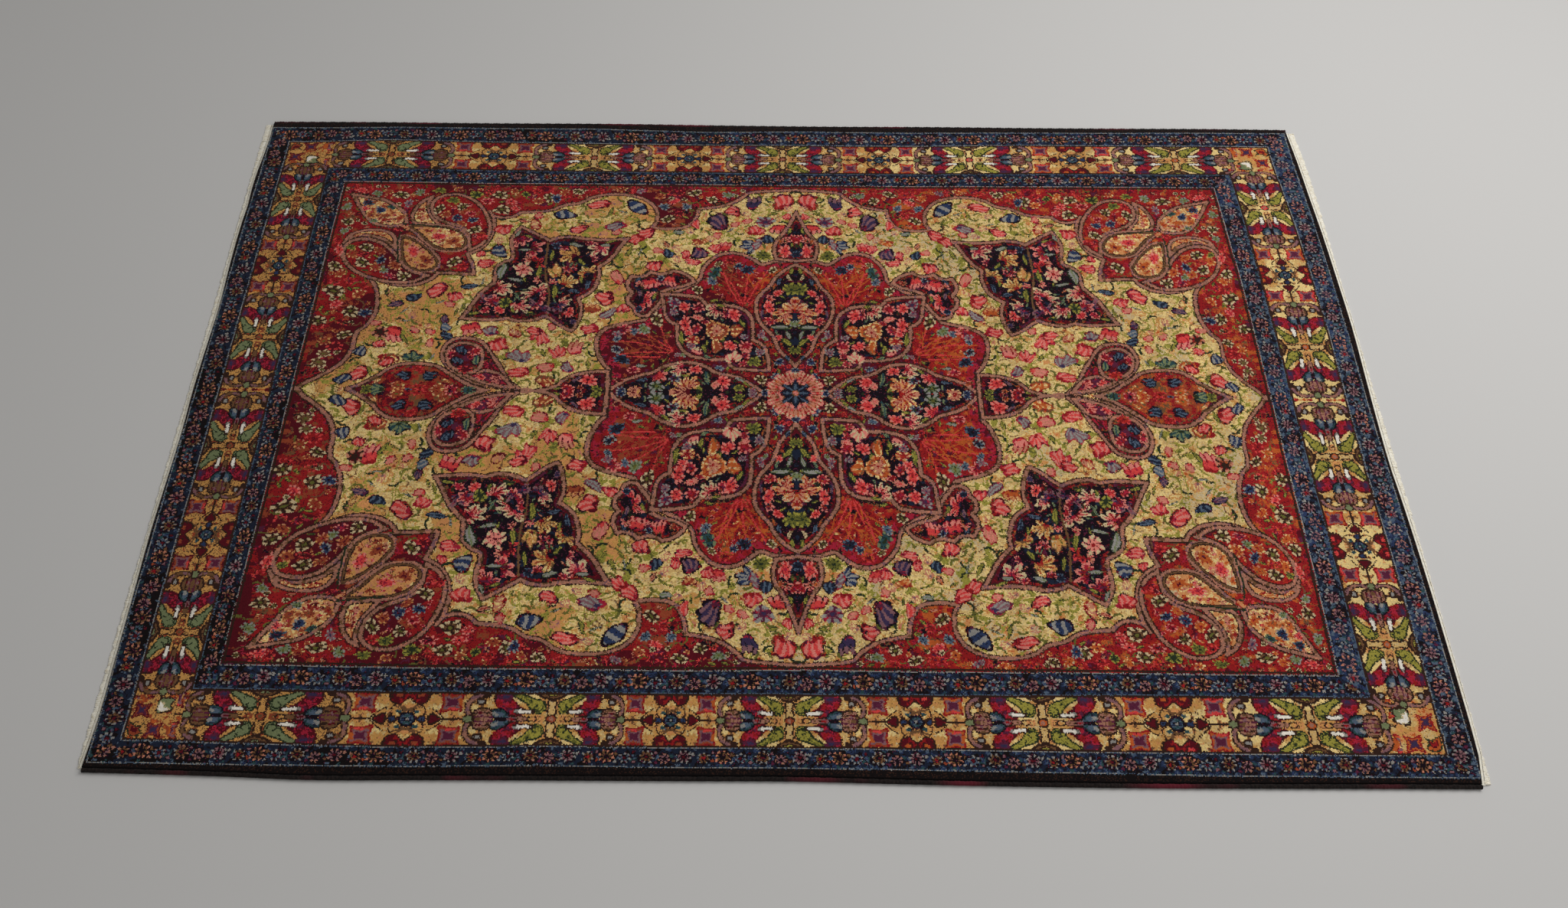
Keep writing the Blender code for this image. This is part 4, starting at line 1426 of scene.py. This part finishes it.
deselect()
pile.select_set(True)
bpy.context.view_layer.objects.active = pile
edit_all("EDGE")
bpy.ops.mesh.region_to_loop()
for down, outwards in RIM:
    bpy.ops.mesh.extrude_edges_move(TRANSFORM_OT_translate={"value": (0, 0, -down)})
    widen(outwards)
leave_edit()
chosen = np.arange(len(pile.data.polygons)) < pile_faces
bpy.ops.object.mode_set(mode="EDIT")
bpy.ops.mesh.select_mode(type="FACE")
leave_edit()
pile.data.polygons.foreach_set("select", chosen)
bpy.ops.object.mode_set(mode="EDIT")
bpy.ops.mesh.duplicate()
bpy.ops.mesh.flip_normals()
bpy.ops.transform.translate(value=(0, 0, -CLOTH_TOP))
widen(1.0)
leave_edit()
print("rim and back:", len(pile.data.polygons), "faces")

# %% sew the back to the rim and give the rim plain dark wool
points = read_points(pile.data)
points[points[:, 2] < 0.001, 2] = 0
write_points(pile.data, points)
bpy.ops.object.mode_set(mode="EDIT")
bpy.ops.mesh.select_all(action="SELECT")
bpy.ops.mesh.remove_doubles(threshold=0.00005)
leave_edit()
smooth(40)
faces = len(pile.data.polygons)
facing = read_all(pile.data.polygons, "normal")
on_top = np.arange(faces) < pile_faces
on_back = facing[:, 2] < -0.9
on_rim = ~on_top & ~on_back
for part in range(DEEP // ROWS_HELD):
    knots = pile.data.attributes[f"knots_{part}"].data
    held = read_all(knots, "vector")
    held[on_rim] = DYE["soot"]
    knots.foreach_set("vector", held.ravel())
print(on_top.sum(), "faces of pile,", on_rim.sum(), "of rim,", on_back.sum(), "of back")

# %% spread the rug on one sheet for the export
SHEET_LENGTH, SHEET_WIDTH = 2.05, 1.40  # metres of the rug that the sheet takes
PILE_FROM, PILE_SHARE = 0.322, 0.675  # shares of the sheet's height
BACK_FROM, BACK_SHARE = 0.003, 0.285
RIM_FROM, RIM_ROW = 0.294, 0.006

place = read_points(pile.data)[read_all(pile.data.loops, "vertex_index", 1, np.int32)[:, 0]]
corner_face = np.repeat(np.arange(faces), read_all(pile.data.polygons, "loop_total", 1, np.int32)[:, 0])
along = 0.5 + place[:, 0] / SHEET_LENGTH
across = 0.5 + place[:, 1] / SHEET_WIDTH
drop = 1 - place[:, 2] / CLOTH_TOP
towards = facing[corner_face]
long_side = np.abs(towards[:, 1]) > np.abs(towards[:, 0])
rim_row = np.where(long_side, towards[:, 1] > 0, 2 + (towards[:, 0] > 0))
rim_run = np.where(long_side, along, across * 0.68)
sheet_u = np.where(on_rim[corner_face], rim_run, along)
sheet_v = np.select(
    [on_top[corner_face], on_back[corner_face]],
    [PILE_FROM + PILE_SHARE * across, BACK_FROM + BACK_SHARE * across],
    RIM_FROM + RIM_ROW * (rim_row + 0.7 * drop),
)
bake_map = pile.data.uv_layers.new(name="OFBake")
bake_map.data.foreach_set("uv", np.column_stack([sheet_u, sheet_v]).astype(np.float32).ravel())
pile.data.uv_layers.active = bake_map
bake_map.active_render = True
print("maps on the cloth:", [layer.name for layer in pile.data.uv_layers])

# %% [markdown]
# ## Building finishes node by node
#
# A finish is a small graph of shader nodes. A short class keeps the cells readable: it adds a node,
# feeds its sockets with numbers or with other nodes, and hands back the output.

# %% a helper for finishes
class Finish:
    """A material that is built node by node round its Principled shader."""

    def __init__(self, name, **sockets):
        self.material = bpy.data.materials.new(name)
        self.material.use_nodes = True
        self.tree = self.material.node_tree
        self.shader = self.tree.nodes["Principled BSDF"]
        for socket, value in sockets.items():
            self.set(socket.replace("_", " "), value)

    def feed(self, socket, value):
        if isinstance(value, bpy.types.NodeSocket):
            self.tree.links.new(value, socket)
        else:
            socket.default_value = value

    def set(self, socket, value):
        """Feed one socket of the Principled shader."""
        self.feed(self.shader.inputs[socket], value)

    def node(self, kind, inputs=None, **settings):
        new = self.tree.nodes.new("ShaderNode" + kind)
        for name, value in settings.items():
            setattr(new, name, value)
        for socket, value in (inputs or {}).items():
            self.feed(new.inputs[socket], value)
        return new

    def math(self, operation, *values):
        return self.node("Math", dict(enumerate(values)), operation=operation).outputs[0]

    def mix(self, share, first, second):
        return self.node("Mix", {0: share, 6: first, 7: second}, data_type="RGBA").outputs[2]

    def spread(self, value, low, high, to_low, to_high):
        """Stretch a value from one range to another, and hold it inside."""
        inputs = {"Value": value, "From Min": low, "From Max": high, "To Min": to_low, "To Max": to_high}
        return self.node("MapRange", inputs).outputs[0]

    def place(self):
        """The place on the object, in metres."""
        return self.node("TexCoord").outputs["Object"]

    def noise(self, scale, detail=2.0, stretch=(1, 1, 1)):
        """Cloudy noise on the object's own coordinates, scale in clouds per metre."""
        held = self.node("Mapping", {"Vector": self.place(), "Scale": stretch}).outputs[0]
        return self.node("TexNoise", {"Vector": held, "Scale": scale, "Detail": detail}).outputs["Fac"]

    def bump(self, height, distance, strength, after=None):
        inputs = {"Height": height, "Distance": distance, "Strength": strength}
        if after is not None:
            inputs["Normal"] = after
        return self.node("Bump", inputs).outputs[0]


def light(colour):
    """A dye as light: from the 0 to 255 of a screen to the linear values that a shader takes."""
    share = np.asarray(colour, float) / 255
    linear = np.where(share <= 0.04045, share / 12.92, ((share + 0.055) / 1.055) ** 2.4)
    return (*[float(v) for v in linear], 1.0)


print("a finish is built from its Principled shader outwards")

# %% [markdown]
# ## Unpacking the knots
#
# The finish works out which knot of the block a point is on, picks the number that holds its row,
# and divides it by powers of 64 to get that knot's dye. A colour ramp with 32 steps is the dyer's
# shelf: the dye's number picks one step of it.

# %% the dye of a point on the cloth
SHELF = 32  # steps of a colour ramp, one for each dye


def step_of(finish, place, steps):
    """Which of some equal steps a place from 0 to 1 is in."""
    step = finish.math("FLOOR", finish.math("MULTIPLY", place, float(steps)))
    return finish.math("MINIMUM", step, steps - 1.0)


def dyed(finish):
    """The colour of the knot at each point."""
    spot = finish.node("SeparateXYZ", {0: finish.node("UVMap", uv_map="block").outputs[0]}).outputs
    col, row = step_of(finish, spot[0], WIDE), step_of(finish, spot[1], DEEP)
    vector = finish.math("FLOOR", finish.math("DIVIDE", row, float(ROWS_HELD)))
    part = finish.math("SUBTRACT", row, finish.math("MULTIPLY", vector, float(ROWS_HELD)))
    choices = {i: finish.math("COMPARE", part, float(i), 0.1) for i in range(ROWS_HELD)}
    pick = finish.node("CombineXYZ", choices).outputs[0]
    held = None
    for i in range(DEEP // ROWS_HELD):
        knots = finish.node("Attribute", attribute_name=f"knots_{i}").outputs["Vector"]
        number = finish.node("VectorMath", {0: knots, 1: pick}, operation="DOT_PRODUCT").outputs["Value"]
        number = finish.math("MULTIPLY", number, finish.math("COMPARE", vector, float(i), 0.1))
        held = number if held is None else finish.math("ADD", held, number)
    shifted = finish.math("FLOOR", finish.math("DIVIDE", held, finish.math("POWER", float(DYE_STEP), col)))
    dye = finish.math("FLOORED_MODULO", shifted, float(DYE_STEP))
    place_on_shelf = finish.math("DIVIDE", finish.math("ADD", dye, 0.5), float(SHELF))
    shelf = finish.node("ValToRGB", {0: place_on_shelf})
    steps = shelf.color_ramp
    steps.interpolation = "CONSTANT"
    while len(steps.elements) < len(DYES):
        steps.elements.new(0.5)
    for number, (element, colour) in enumerate(zip(steps.elements, DYES.values())):
        element.position = number / SHELF
        element.color = light(colour)
    return shelf.outputs[0]


print("the ramp has", SHELF, "steps for", len(DYES), "dyes")

# %% [markdown]
# ## Wool pile
#
# Clipped wool is matt, with a soft sheen at low angles. Each tuft takes the dye a little differently,
# the dye changes in bands across the rug where the weaver changed lots, which is called abrash, and
# walking and cleaning have worn faint streaks across it. The tufts and their fibres are fine bump.

# %% mix the pile's finish
wool_pile = Finish("wool_pile_knots", Roughness=0.95, Specular_IOR_Level=0.08, Sheen_Weight=0.05,
                   Sheen_Roughness=0.45)
colour = dyed(wool_pile)
tuft = wool_pile.node("TexVoronoi", {"Vector": wool_pile.place(), "Scale": 620.0, "Randomness": 0.6},
                      feature="F1")
tone = wool_pile.spread(tuft.outputs["Color"], 0.0, 1.0, 0.78, 1.22)
lots = wool_pile.spread(wool_pile.noise(1.0, 3.0, (26, 2.5, 1)), 0.3, 0.7, 0.88, 1.12)
wear = wool_pile.spread(wool_pile.noise(1.0, 4.0, (90, 9, 1)), 0.55, 0.8, 1.0, 1.16)
patches = wool_pile.spread(wool_pile.noise(7.0, 4.0), 0.3, 0.7, 0.94, 1.06)
for change in (lots, wool_pile.math("MULTIPLY", wear, patches)):
    tone = wool_pile.math("MULTIPLY", tone, change)
toned = wool_pile.node("VectorMath", {0: colour, 1: tone}, operation="MULTIPLY")
wool_pile.set("Base Color", toned.outputs[0])
fibres = wool_pile.bump(wool_pile.noise(1400.0), 0.0002, 0.5)
nap = wool_pile.bump(wool_pile.noise(45.0, 3.0), 0.0006, 0.35, fibres)
wool_pile.set("Normal", wool_pile.bump(tuft.outputs["Distance"], 0.0004, 0.6, nap))
pile.data.materials.append(wool_pile.material)
print("nodes in the pile's finish:", len(wool_pile.tree.nodes))

# %% [markdown]
# ## The back of the knots
#
# On the back the same knots show as small flat loops between rows of cotton weft, so the design is
# there too, paler and ribbed. The back gets the same dyes with a little cotton in them, and ribs.

# %% mix the back's finish
knot_backs = Finish("wool_knot_backs", Roughness=0.9, Specular_IOR_Level=0.08, Sheen_Weight=0.05)
ribs = {"Vector": knot_backs.place(), "Scale": 190.0, "Distortion": 0.6, "Detail": 1.0}
rows = knot_backs.node("TexWave", ribs, bands_direction="X")
cotton = light((176, 160, 136))
weft = knot_backs.spread(rows.outputs["Fac"], 0.0, 0.25, 0.55, 0.12)
knot_backs.set("Base Color", knot_backs.mix(weft, dyed(knot_backs), cotton))
knot_backs.set("Normal", knot_backs.bump(rows.outputs["Fac"], 0.0004, 0.7))
pile.data.materials.append(knot_backs.material)
pile.data.polygons.foreach_set("material_index", on_back.astype(np.int32))
print("nodes in the back's finish:", len(knot_backs.tree.nodes))

# %% [markdown]
# ## The overcast cords
#
# Along each long edge the last warps are bundled and whipped with dark wool, turn beside turn. A tube
# with a bump map would look moulded, so one turn of the wool is modelled, swelling in its middle and
# leaning a little, and an array repeats it. A curve modifier then lays the whole cord along the edge.

# %% model one turn and whip the cord with it
CORD_WIDTH, CORD_HEIGHT = 0.0072, 0.0070
CORD_BITE = 0.0001  # metres that the cord bites into the cloth
TURN_PITCH = 0.0021
WAIST = 0.88  # how thin a turn is at its ends
SIDES = 12


def edge_path(name, edge, facing, out, height):
    """A flat curve that follows a long edge of the cloth, out metres away from it, and its length."""
    xs = np.linspace(-np.interp(facing * edge[1][0], *LEFT), np.interp(facing * edge[1][-1], *RIGHT), 60)
    ys = facing * (np.interp(xs, *edge) + out)
    data = bpy.data.curves.new(name, "CURVE")
    data.dimensions = "3D"
    data.twist_mode = "Z_UP"
    spline = data.splines.new("POLY")
    spline.points.add(len(xs) - 1)
    for point, px, py in zip(spline.points, xs, ys):
        point.co = (px, py, height, 1)
    path = bpy.data.objects.new(name, data)
    bpy.context.scene.collection.objects.link(path)
    return path, float(np.sum(np.hypot(np.diff(xs), np.diff(ys))))


def whip_cord(name, edge, facing):
    """Lay one overcast cord along a long edge of the cloth."""
    path, length = edge_path(name + "_path", edge, facing, CORD_WIDTH / 2 - CORD_BITE, CORD_HEIGHT / 2)
    turns = round(length / TURN_PITCH)
    pitch = length / turns
    deselect()
    bpy.ops.mesh.primitive_circle_add(vertices=SIDES, radius=CORD_WIDTH / 2 * WAIST,
                                      rotation=(0, math.pi / 2, 0))
    cord = new_piece(name)
    bpy.ops.object.transform_apply(location=True, rotation=True, scale=True)
    edit_all("EDGE")
    for swell in (1 / WAIST, WAIST):
        bpy.ops.mesh.extrude_edges_move(TRANSFORM_OT_translate={"value": (pitch / 2, 0, 0)})
        bpy.ops.transform.resize(value=(1, swell, swell))
    leave_edit()
    turn = read_points(cord.data)
    turn[:, 2] *= CORD_HEIGHT / CORD_WIDTH
    turn[:, 0] += 0.16 * turn[:, 2] - 0.05 * turn[:, 1]
    write_points(cord.data, turn)
    set_in_a_row(cord, turns, pitch, merge=0.0001)
    along = cord.modifiers.new("along the edge", "CURVE")
    along.object = path
    bpy.ops.object.modifier_apply(modifier="along the edge")
    bpy.data.objects.remove(path)
    face_outwards()
    bpy.ops.mesh.select_non_manifold(extend=False)
    bpy.ops.mesh.fill_holes(sides=SIDES)
    leave_edit()
    points = read_points(cord.data)
    middle = facing * (np.interp(points[:, 0], *edge) + CORD_WIDTH / 2)
    plump = 1 + 0.05 * np.sin(points[:, 0] * 310) + 0.04 * np.sin(points[:, 0] * 1130 + 2)
    points[:, 1] = middle + (points[:, 1] - middle) * plump
    points[:, 2] = np.maximum(points[:, 2] * plump, 0.0)
    write_points(cord.data, points)
    smooth(50)
    print(f"{name}: {turns} turns of wool over {length:.3f} m, {len(cord.data.polygons)} faces")
    return cord


cord_front = whip_cord("cord_front", FRONT, -1)
cord_back = whip_cord("cord_back", BACK, 1)

# %% [markdown]
# ## Overcast wool
#
# The overcasting is dark brown wool, worn lighter where hands and feet rub it. The crimson of an older
# repair shows in places. Streaks of bump are the plies of the yarn.

# %% mix the cord's finish
wool_cord = Finish("wool_cord_overcast", Roughness=0.9, Specular_IOR_Level=0.2, Sheen_Weight=0.1,
                   Sheen_Roughness=0.4)
brown, soot, crimson = light((38, 29, 26)), light((16, 12, 12)), light((116, 26, 44))
dark = wool_cord.mix(wool_cord.spread(wool_cord.noise(300.0, 3.0), 0.35, 0.65, 0.0, 1.0), soot, brown)
repair = wool_cord.spread(wool_cord.noise(1.0, stretch=(5, 1, 1)), 0.55, 0.66, 0.0, 0.6)
plies = wool_cord.noise(1.0, stretch=(2600, 700, 700))
wool_cord.set("Base Color", wool_cord.mix(repair, dark, crimson))
wool_cord.set("Normal", wool_cord.bump(plies, 0.0003, 0.6))
for cord in (cord_front, cord_back):
    cord.data.materials.append(wool_cord.material)
print("overcast wool on", cord_front.name, "and", cord_back.name)

# %% [markdown]
# ## The flat-woven strips
#
# At each end the weaver packs a few plain wefts after the last knots, a narrow flat-woven strip that
# keeps them in. It is a crowned band with a rib for each weft, so the band is a grid, shaped across and
# rippled along, with its boundary turned down to the floor and closed.

# %% read how far the fringes reach
FRINGE_STARTS = 0.0047  # metres out from the cloth, where the CAD strip is left behind


def reach_line(name, edge, facing):
    """The tips of a CAD fringe: places along the end and how far out they are, in metres."""
    points = np.array([tuple(v.co) for v in bpy.data.objects[name].data.vertices])
    out = points[:, 0] * facing
    tip = out > np.interp(points[:, 1], *edge) + FRINGE_STARTS
    places, order = np.unique(np.round(points[tip, 1], 3), return_index=True)
    return places, out[tip][order]


def end_span(edge, facing, short=0.0):
    """Where a short edge of the cloth starts and ends, in metres along it, short of both corners."""
    front = -np.interp(facing * edge[1][0], *FRONT) + short
    back = np.interp(facing * edge[1][-1], *BACK) - short
    return front, back


LEFT_TIPS = reach_line("fringe_left", LEFT, -1)
RIGHT_TIPS = reach_line("fringe_right", RIGHT, 1)
print("tips read:", len(LEFT_TIPS[0]), "left,", len(RIGHT_TIPS[0]), "right")

# %% weave the strips
STRIP_WIDTH, STRIP_HEIGHT = 0.0074, 0.0026
STRIP_BITE = 0.0002  # metres that the strip bites into the cloth
STRIP_STEPS = 460


def weave_strip(name, edge, facing):
    """A narrow flat-woven strip along a short edge of the cloth."""
    deselect()
    bpy.ops.mesh.primitive_grid_add(x_subdivisions=6, y_subdivisions=STRIP_STEPS, size=1.0)
    strip = new_piece(name)
    edit_all("EDGE")
    bpy.ops.mesh.region_to_loop()
    bpy.ops.mesh.extrude_edges_move(TRANSFORM_OT_translate={"value": (0, 0, -1)})
    bpy.ops.mesh.edge_face_add()
    leave_edit()
    share = read_points(strip.data)
    u, v, low = share[:, 0] + 0.5, share[:, 1] + 0.5, share[:, 2] < -0.5
    front, back = end_span(edge, facing)
    y = front + (back - front) * v
    rib = np.sin(v * STRIP_STEPS * math.pi / 2) * np.sin(u * 3 * math.pi)
    crown = 0.62 + 0.38 * np.sin(np.clip(u, 0, 1) * math.pi)
    wander = 0.0005 * np.sin(y * 61) + 0.0003 * np.sin(y * 173 + 1)
    x = facing * (np.interp(y, *edge) - STRIP_BITE + u * (STRIP_WIDTH + wander))
    z = np.where(low, 0, STRIP_HEIGHT * crown + 0.00012 * rib)
    write_points(strip.data, np.column_stack([x, y, z]))
    face_outwards()
    leave_edit()
    smooth(60)
    print(f"{name}: {abs(back - front):.3f} m of strip, {len(strip.data.polygons)} faces")
    return strip


strip_left = weave_strip("strip_left", LEFT, -1)
strip_right = weave_strip("strip_right", RIGHT, 1)

# %% [markdown]
# ## The fringe
#
# The cut warps leave the strip as short cotton ends, close together, each a little different. One end
# is modelled as a tapering six-sided strand, an array makes the row, and then each strand is moved to
# its own place: longer or shorter, leaning, lifting a little, and always coming to rest on the floor.

# %% lay the warp ends
STRAND_PITCH = 0.0013
STRAND_RADIUS = 0.00105
ROOT_DEPTH = 0.0016  # metres that a strand starts inside the strip


def lay_fringe(name, edge, tips, facing, seed):
    """A row of cotton warp ends that come out of a flat-woven strip."""
    front, back = end_span(edge, facing, short=0.001)
    strands = round((back - front) / STRAND_PITCH)
    deselect()
    bpy.ops.mesh.primitive_circle_add(vertices=6, radius=1.0, fill_type="NGON", rotation=(0, math.pi / 2, 0))
    fringe = new_piece(name)
    bpy.ops.object.transform_apply(location=True, rotation=True, scale=True)
    edit_all("FACE")
    for thinner in (1.06, 1.02, 0.96, 0.7):
        bpy.ops.mesh.extrude_region_move(TRANSFORM_OT_translate={"value": (0.25, 0, 0)})
        bpy.ops.transform.resize(value=(1, thinner, thinner))
    leave_edit()
    each = len(fringe.data.vertices)
    set_in_a_row(fringe, strands, 0)
    rng = np.random.default_rng(seed)
    strand = np.arange(len(fringe.data.vertices)) // each
    place = front + (back - front) * (np.arange(strands) + 0.5) / strands
    place += 0.0003 * rng.standard_normal(strands)
    lean = 0.0007 * rng.standard_normal(strands) + 0.0008 * np.sin(place * 140)
    short = 0.0001 + 0.0009 * rng.random(strands) ** 2
    lift = 0.0008 * rng.random(strands)
    thick = STRAND_RADIUS * (0.85 + 0.3 * rng.random(strands))
    root = np.interp(place, *edge) + STRIP_WIDTH - ROOT_DEPTH
    reach = np.interp(place, *tips) - short
    local = read_points(fringe.data)
    out = local[:, 0]
    x = root[strand] + (reach - root)[strand] * out
    y = place[strand] + lean[strand] * out ** 1.6 + local[:, 1] * thick[strand]
    rest = thick[strand] * (1 - 0.15 * out)
    height = 0.0012 * (1 - out) ** 2 + lift[strand] * np.sin(out * math.pi) + rest
    z = np.maximum(height + local[:, 2] * thick[strand], 0.0)
    write_points(fringe.data, np.column_stack([facing * x, y, z]))
    face_outwards()
    leave_edit()
    smooth(60)
    print(f"{name}: {strands} warp ends, {len(fringe.data.polygons)} faces")
    return fringe


ends_left = lay_fringe("warp_ends_left", LEFT, LEFT_TIPS, -1, 11)
ends_right = lay_fringe("warp_ends_right", RIGHT, RIGHT_TIPS, 1, 12)

# %% [markdown]
# ## Undyed cotton
#
# The warps and wefts are undyed cotton, off-white, greyed in places by use. Fine streaks along the
# strands are the plies.

# %% mix the cotton's finish
cotton_fringe = Finish("cotton_undyed", Roughness=0.85, Specular_IOR_Level=0.2, Sheen_Weight=0.1,
                       Sheen_Roughness=0.5)
clean, used = light((250, 245, 230)), light((214, 200, 172))
grime = cotton_fringe.spread(cotton_fringe.noise(240.0, 4.0), 0.4, 0.75, 0.0, 0.8)
plies = cotton_fringe.noise(1.0, stretch=(500, 2200, 900))
cotton_fringe.set("Base Color", cotton_fringe.mix(grime, clean, used))
cotton_fringe.set("Normal", cotton_fringe.bump(plies, 0.0003, 0.7))
for piece in (strip_left, strip_right, ends_left, ends_right):
    piece.data.materials.append(cotton_fringe.material)
print("cotton on four pieces")

# %% [markdown]
# ## What each piece stands for
#
# Each new piece rides on the rug's one body and replaces its plain CAD solid. The length and width of
# the cloth's outline are measured too.

# %% tie the pieces to the frame
pieces = {
    pile: ("wool_pile", "rug_cloth"),
    cord_front: ("wool_cord", "edge_cord_front"),
    cord_back: ("wool_cord", "edge_cord_back"),
    strip_left: ("cotton_fringe", "fringe_left"),
    ends_left: ("cotton_fringe", "fringe_left"),
    strip_right: ("cotton_fringe", "fringe_right"),
    ends_right: ("cotton_fringe", "fringe_right"),
}
for piece, (slot, node) in pieces.items():
    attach(piece, "root")
    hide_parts(node)
low, high = foot.min(axis=0), foot.max(axis=0)
length, width = float(high[0] - low[0]), float(high[1] - low[1])

# %% [markdown]
# ## Floor, light and camera
#
# The rug lies on a plain pale floor under plain soft studio light: a large panel above the right
# end, a weak one in front, and a dim even surround. The camera stands where the photograph's did,
# which was solved from the four corners of the rug.

# %% floor
deselect()
bpy.ops.mesh.primitive_plane_add(size=14, location=(0, 0, 0))
floor = bpy.context.object
floor.name = floor.data.name = "studio_floor"
plain = Finish("floor_plain", Base_Color=light((205, 203, 200)), Roughness=0.8)
floor.data.materials.append(plain.material)

# %% light
def panel(name, place, aim, size, power):
    lamp = bpy.data.lights.new(name, "AREA")
    lamp.energy, lamp.size = power, size
    holder = bpy.data.objects.new(name, lamp)
    holder.location = place
    holder.rotation_euler = (Vector(aim) - Vector(place)).to_track_quat("-Z", "Y").to_euler()
    bpy.context.scene.collection.objects.link(holder)


panel("panel_right", (1.7, 0.9, 2.6), (0.2, 0, 0), 2.4, 62)
panel("panel_front", (0.8, -3.0, 2.4), (0, 0, 0), 2.5, 14)
surround = bpy.data.worlds.new("surround")
surround.use_nodes = True
surround.node_tree.nodes["Background"].inputs["Color"].default_value = (1, 1, 1, 1)
surround.node_tree.nodes["Background"].inputs["Strength"].default_value = 0.27
bpy.context.scene.world = surround
bpy.context.scene.view_settings.view_transform = "Standard"

# %% camera
PHOTO_WIDTH = 2048
FOCAL_PIXELS = 1921.006
ACROSS_MIDDLE = 973.7247  # the pixel column of the lens axis
right = Vector((0.99994105, 0.0105754, 0.00245996))
up = Vector((-0.01000851, 0.80992593, 0.58644678))
ahead = Vector((-0.00420953, 0.58643683, -0.80998403))
lens = bpy.data.cameras.new("camera")
lens.sensor_width = 36
lens.lens = FOCAL_PIXELS / PHOTO_WIDTH * lens.sensor_width
lens.shift_x = (PHOTO_WIDTH / 2 - ACROSS_MIDDLE) / PHOTO_WIDTH
camera = bpy.data.objects.new("camera", lens)
turned = Matrix((right, up, -ahead)).transposed().to_4x4()
camera.matrix_world = Matrix.Translation((-0.05122394, -1.5418327, 1.98067245)) @ turned
bpy.context.scene.collection.objects.link(camera)
bpy.context.scene.camera = camera
print(f"lens {lens.lens:.1f} mm, {camera.location.z:.2f} m above the floor")
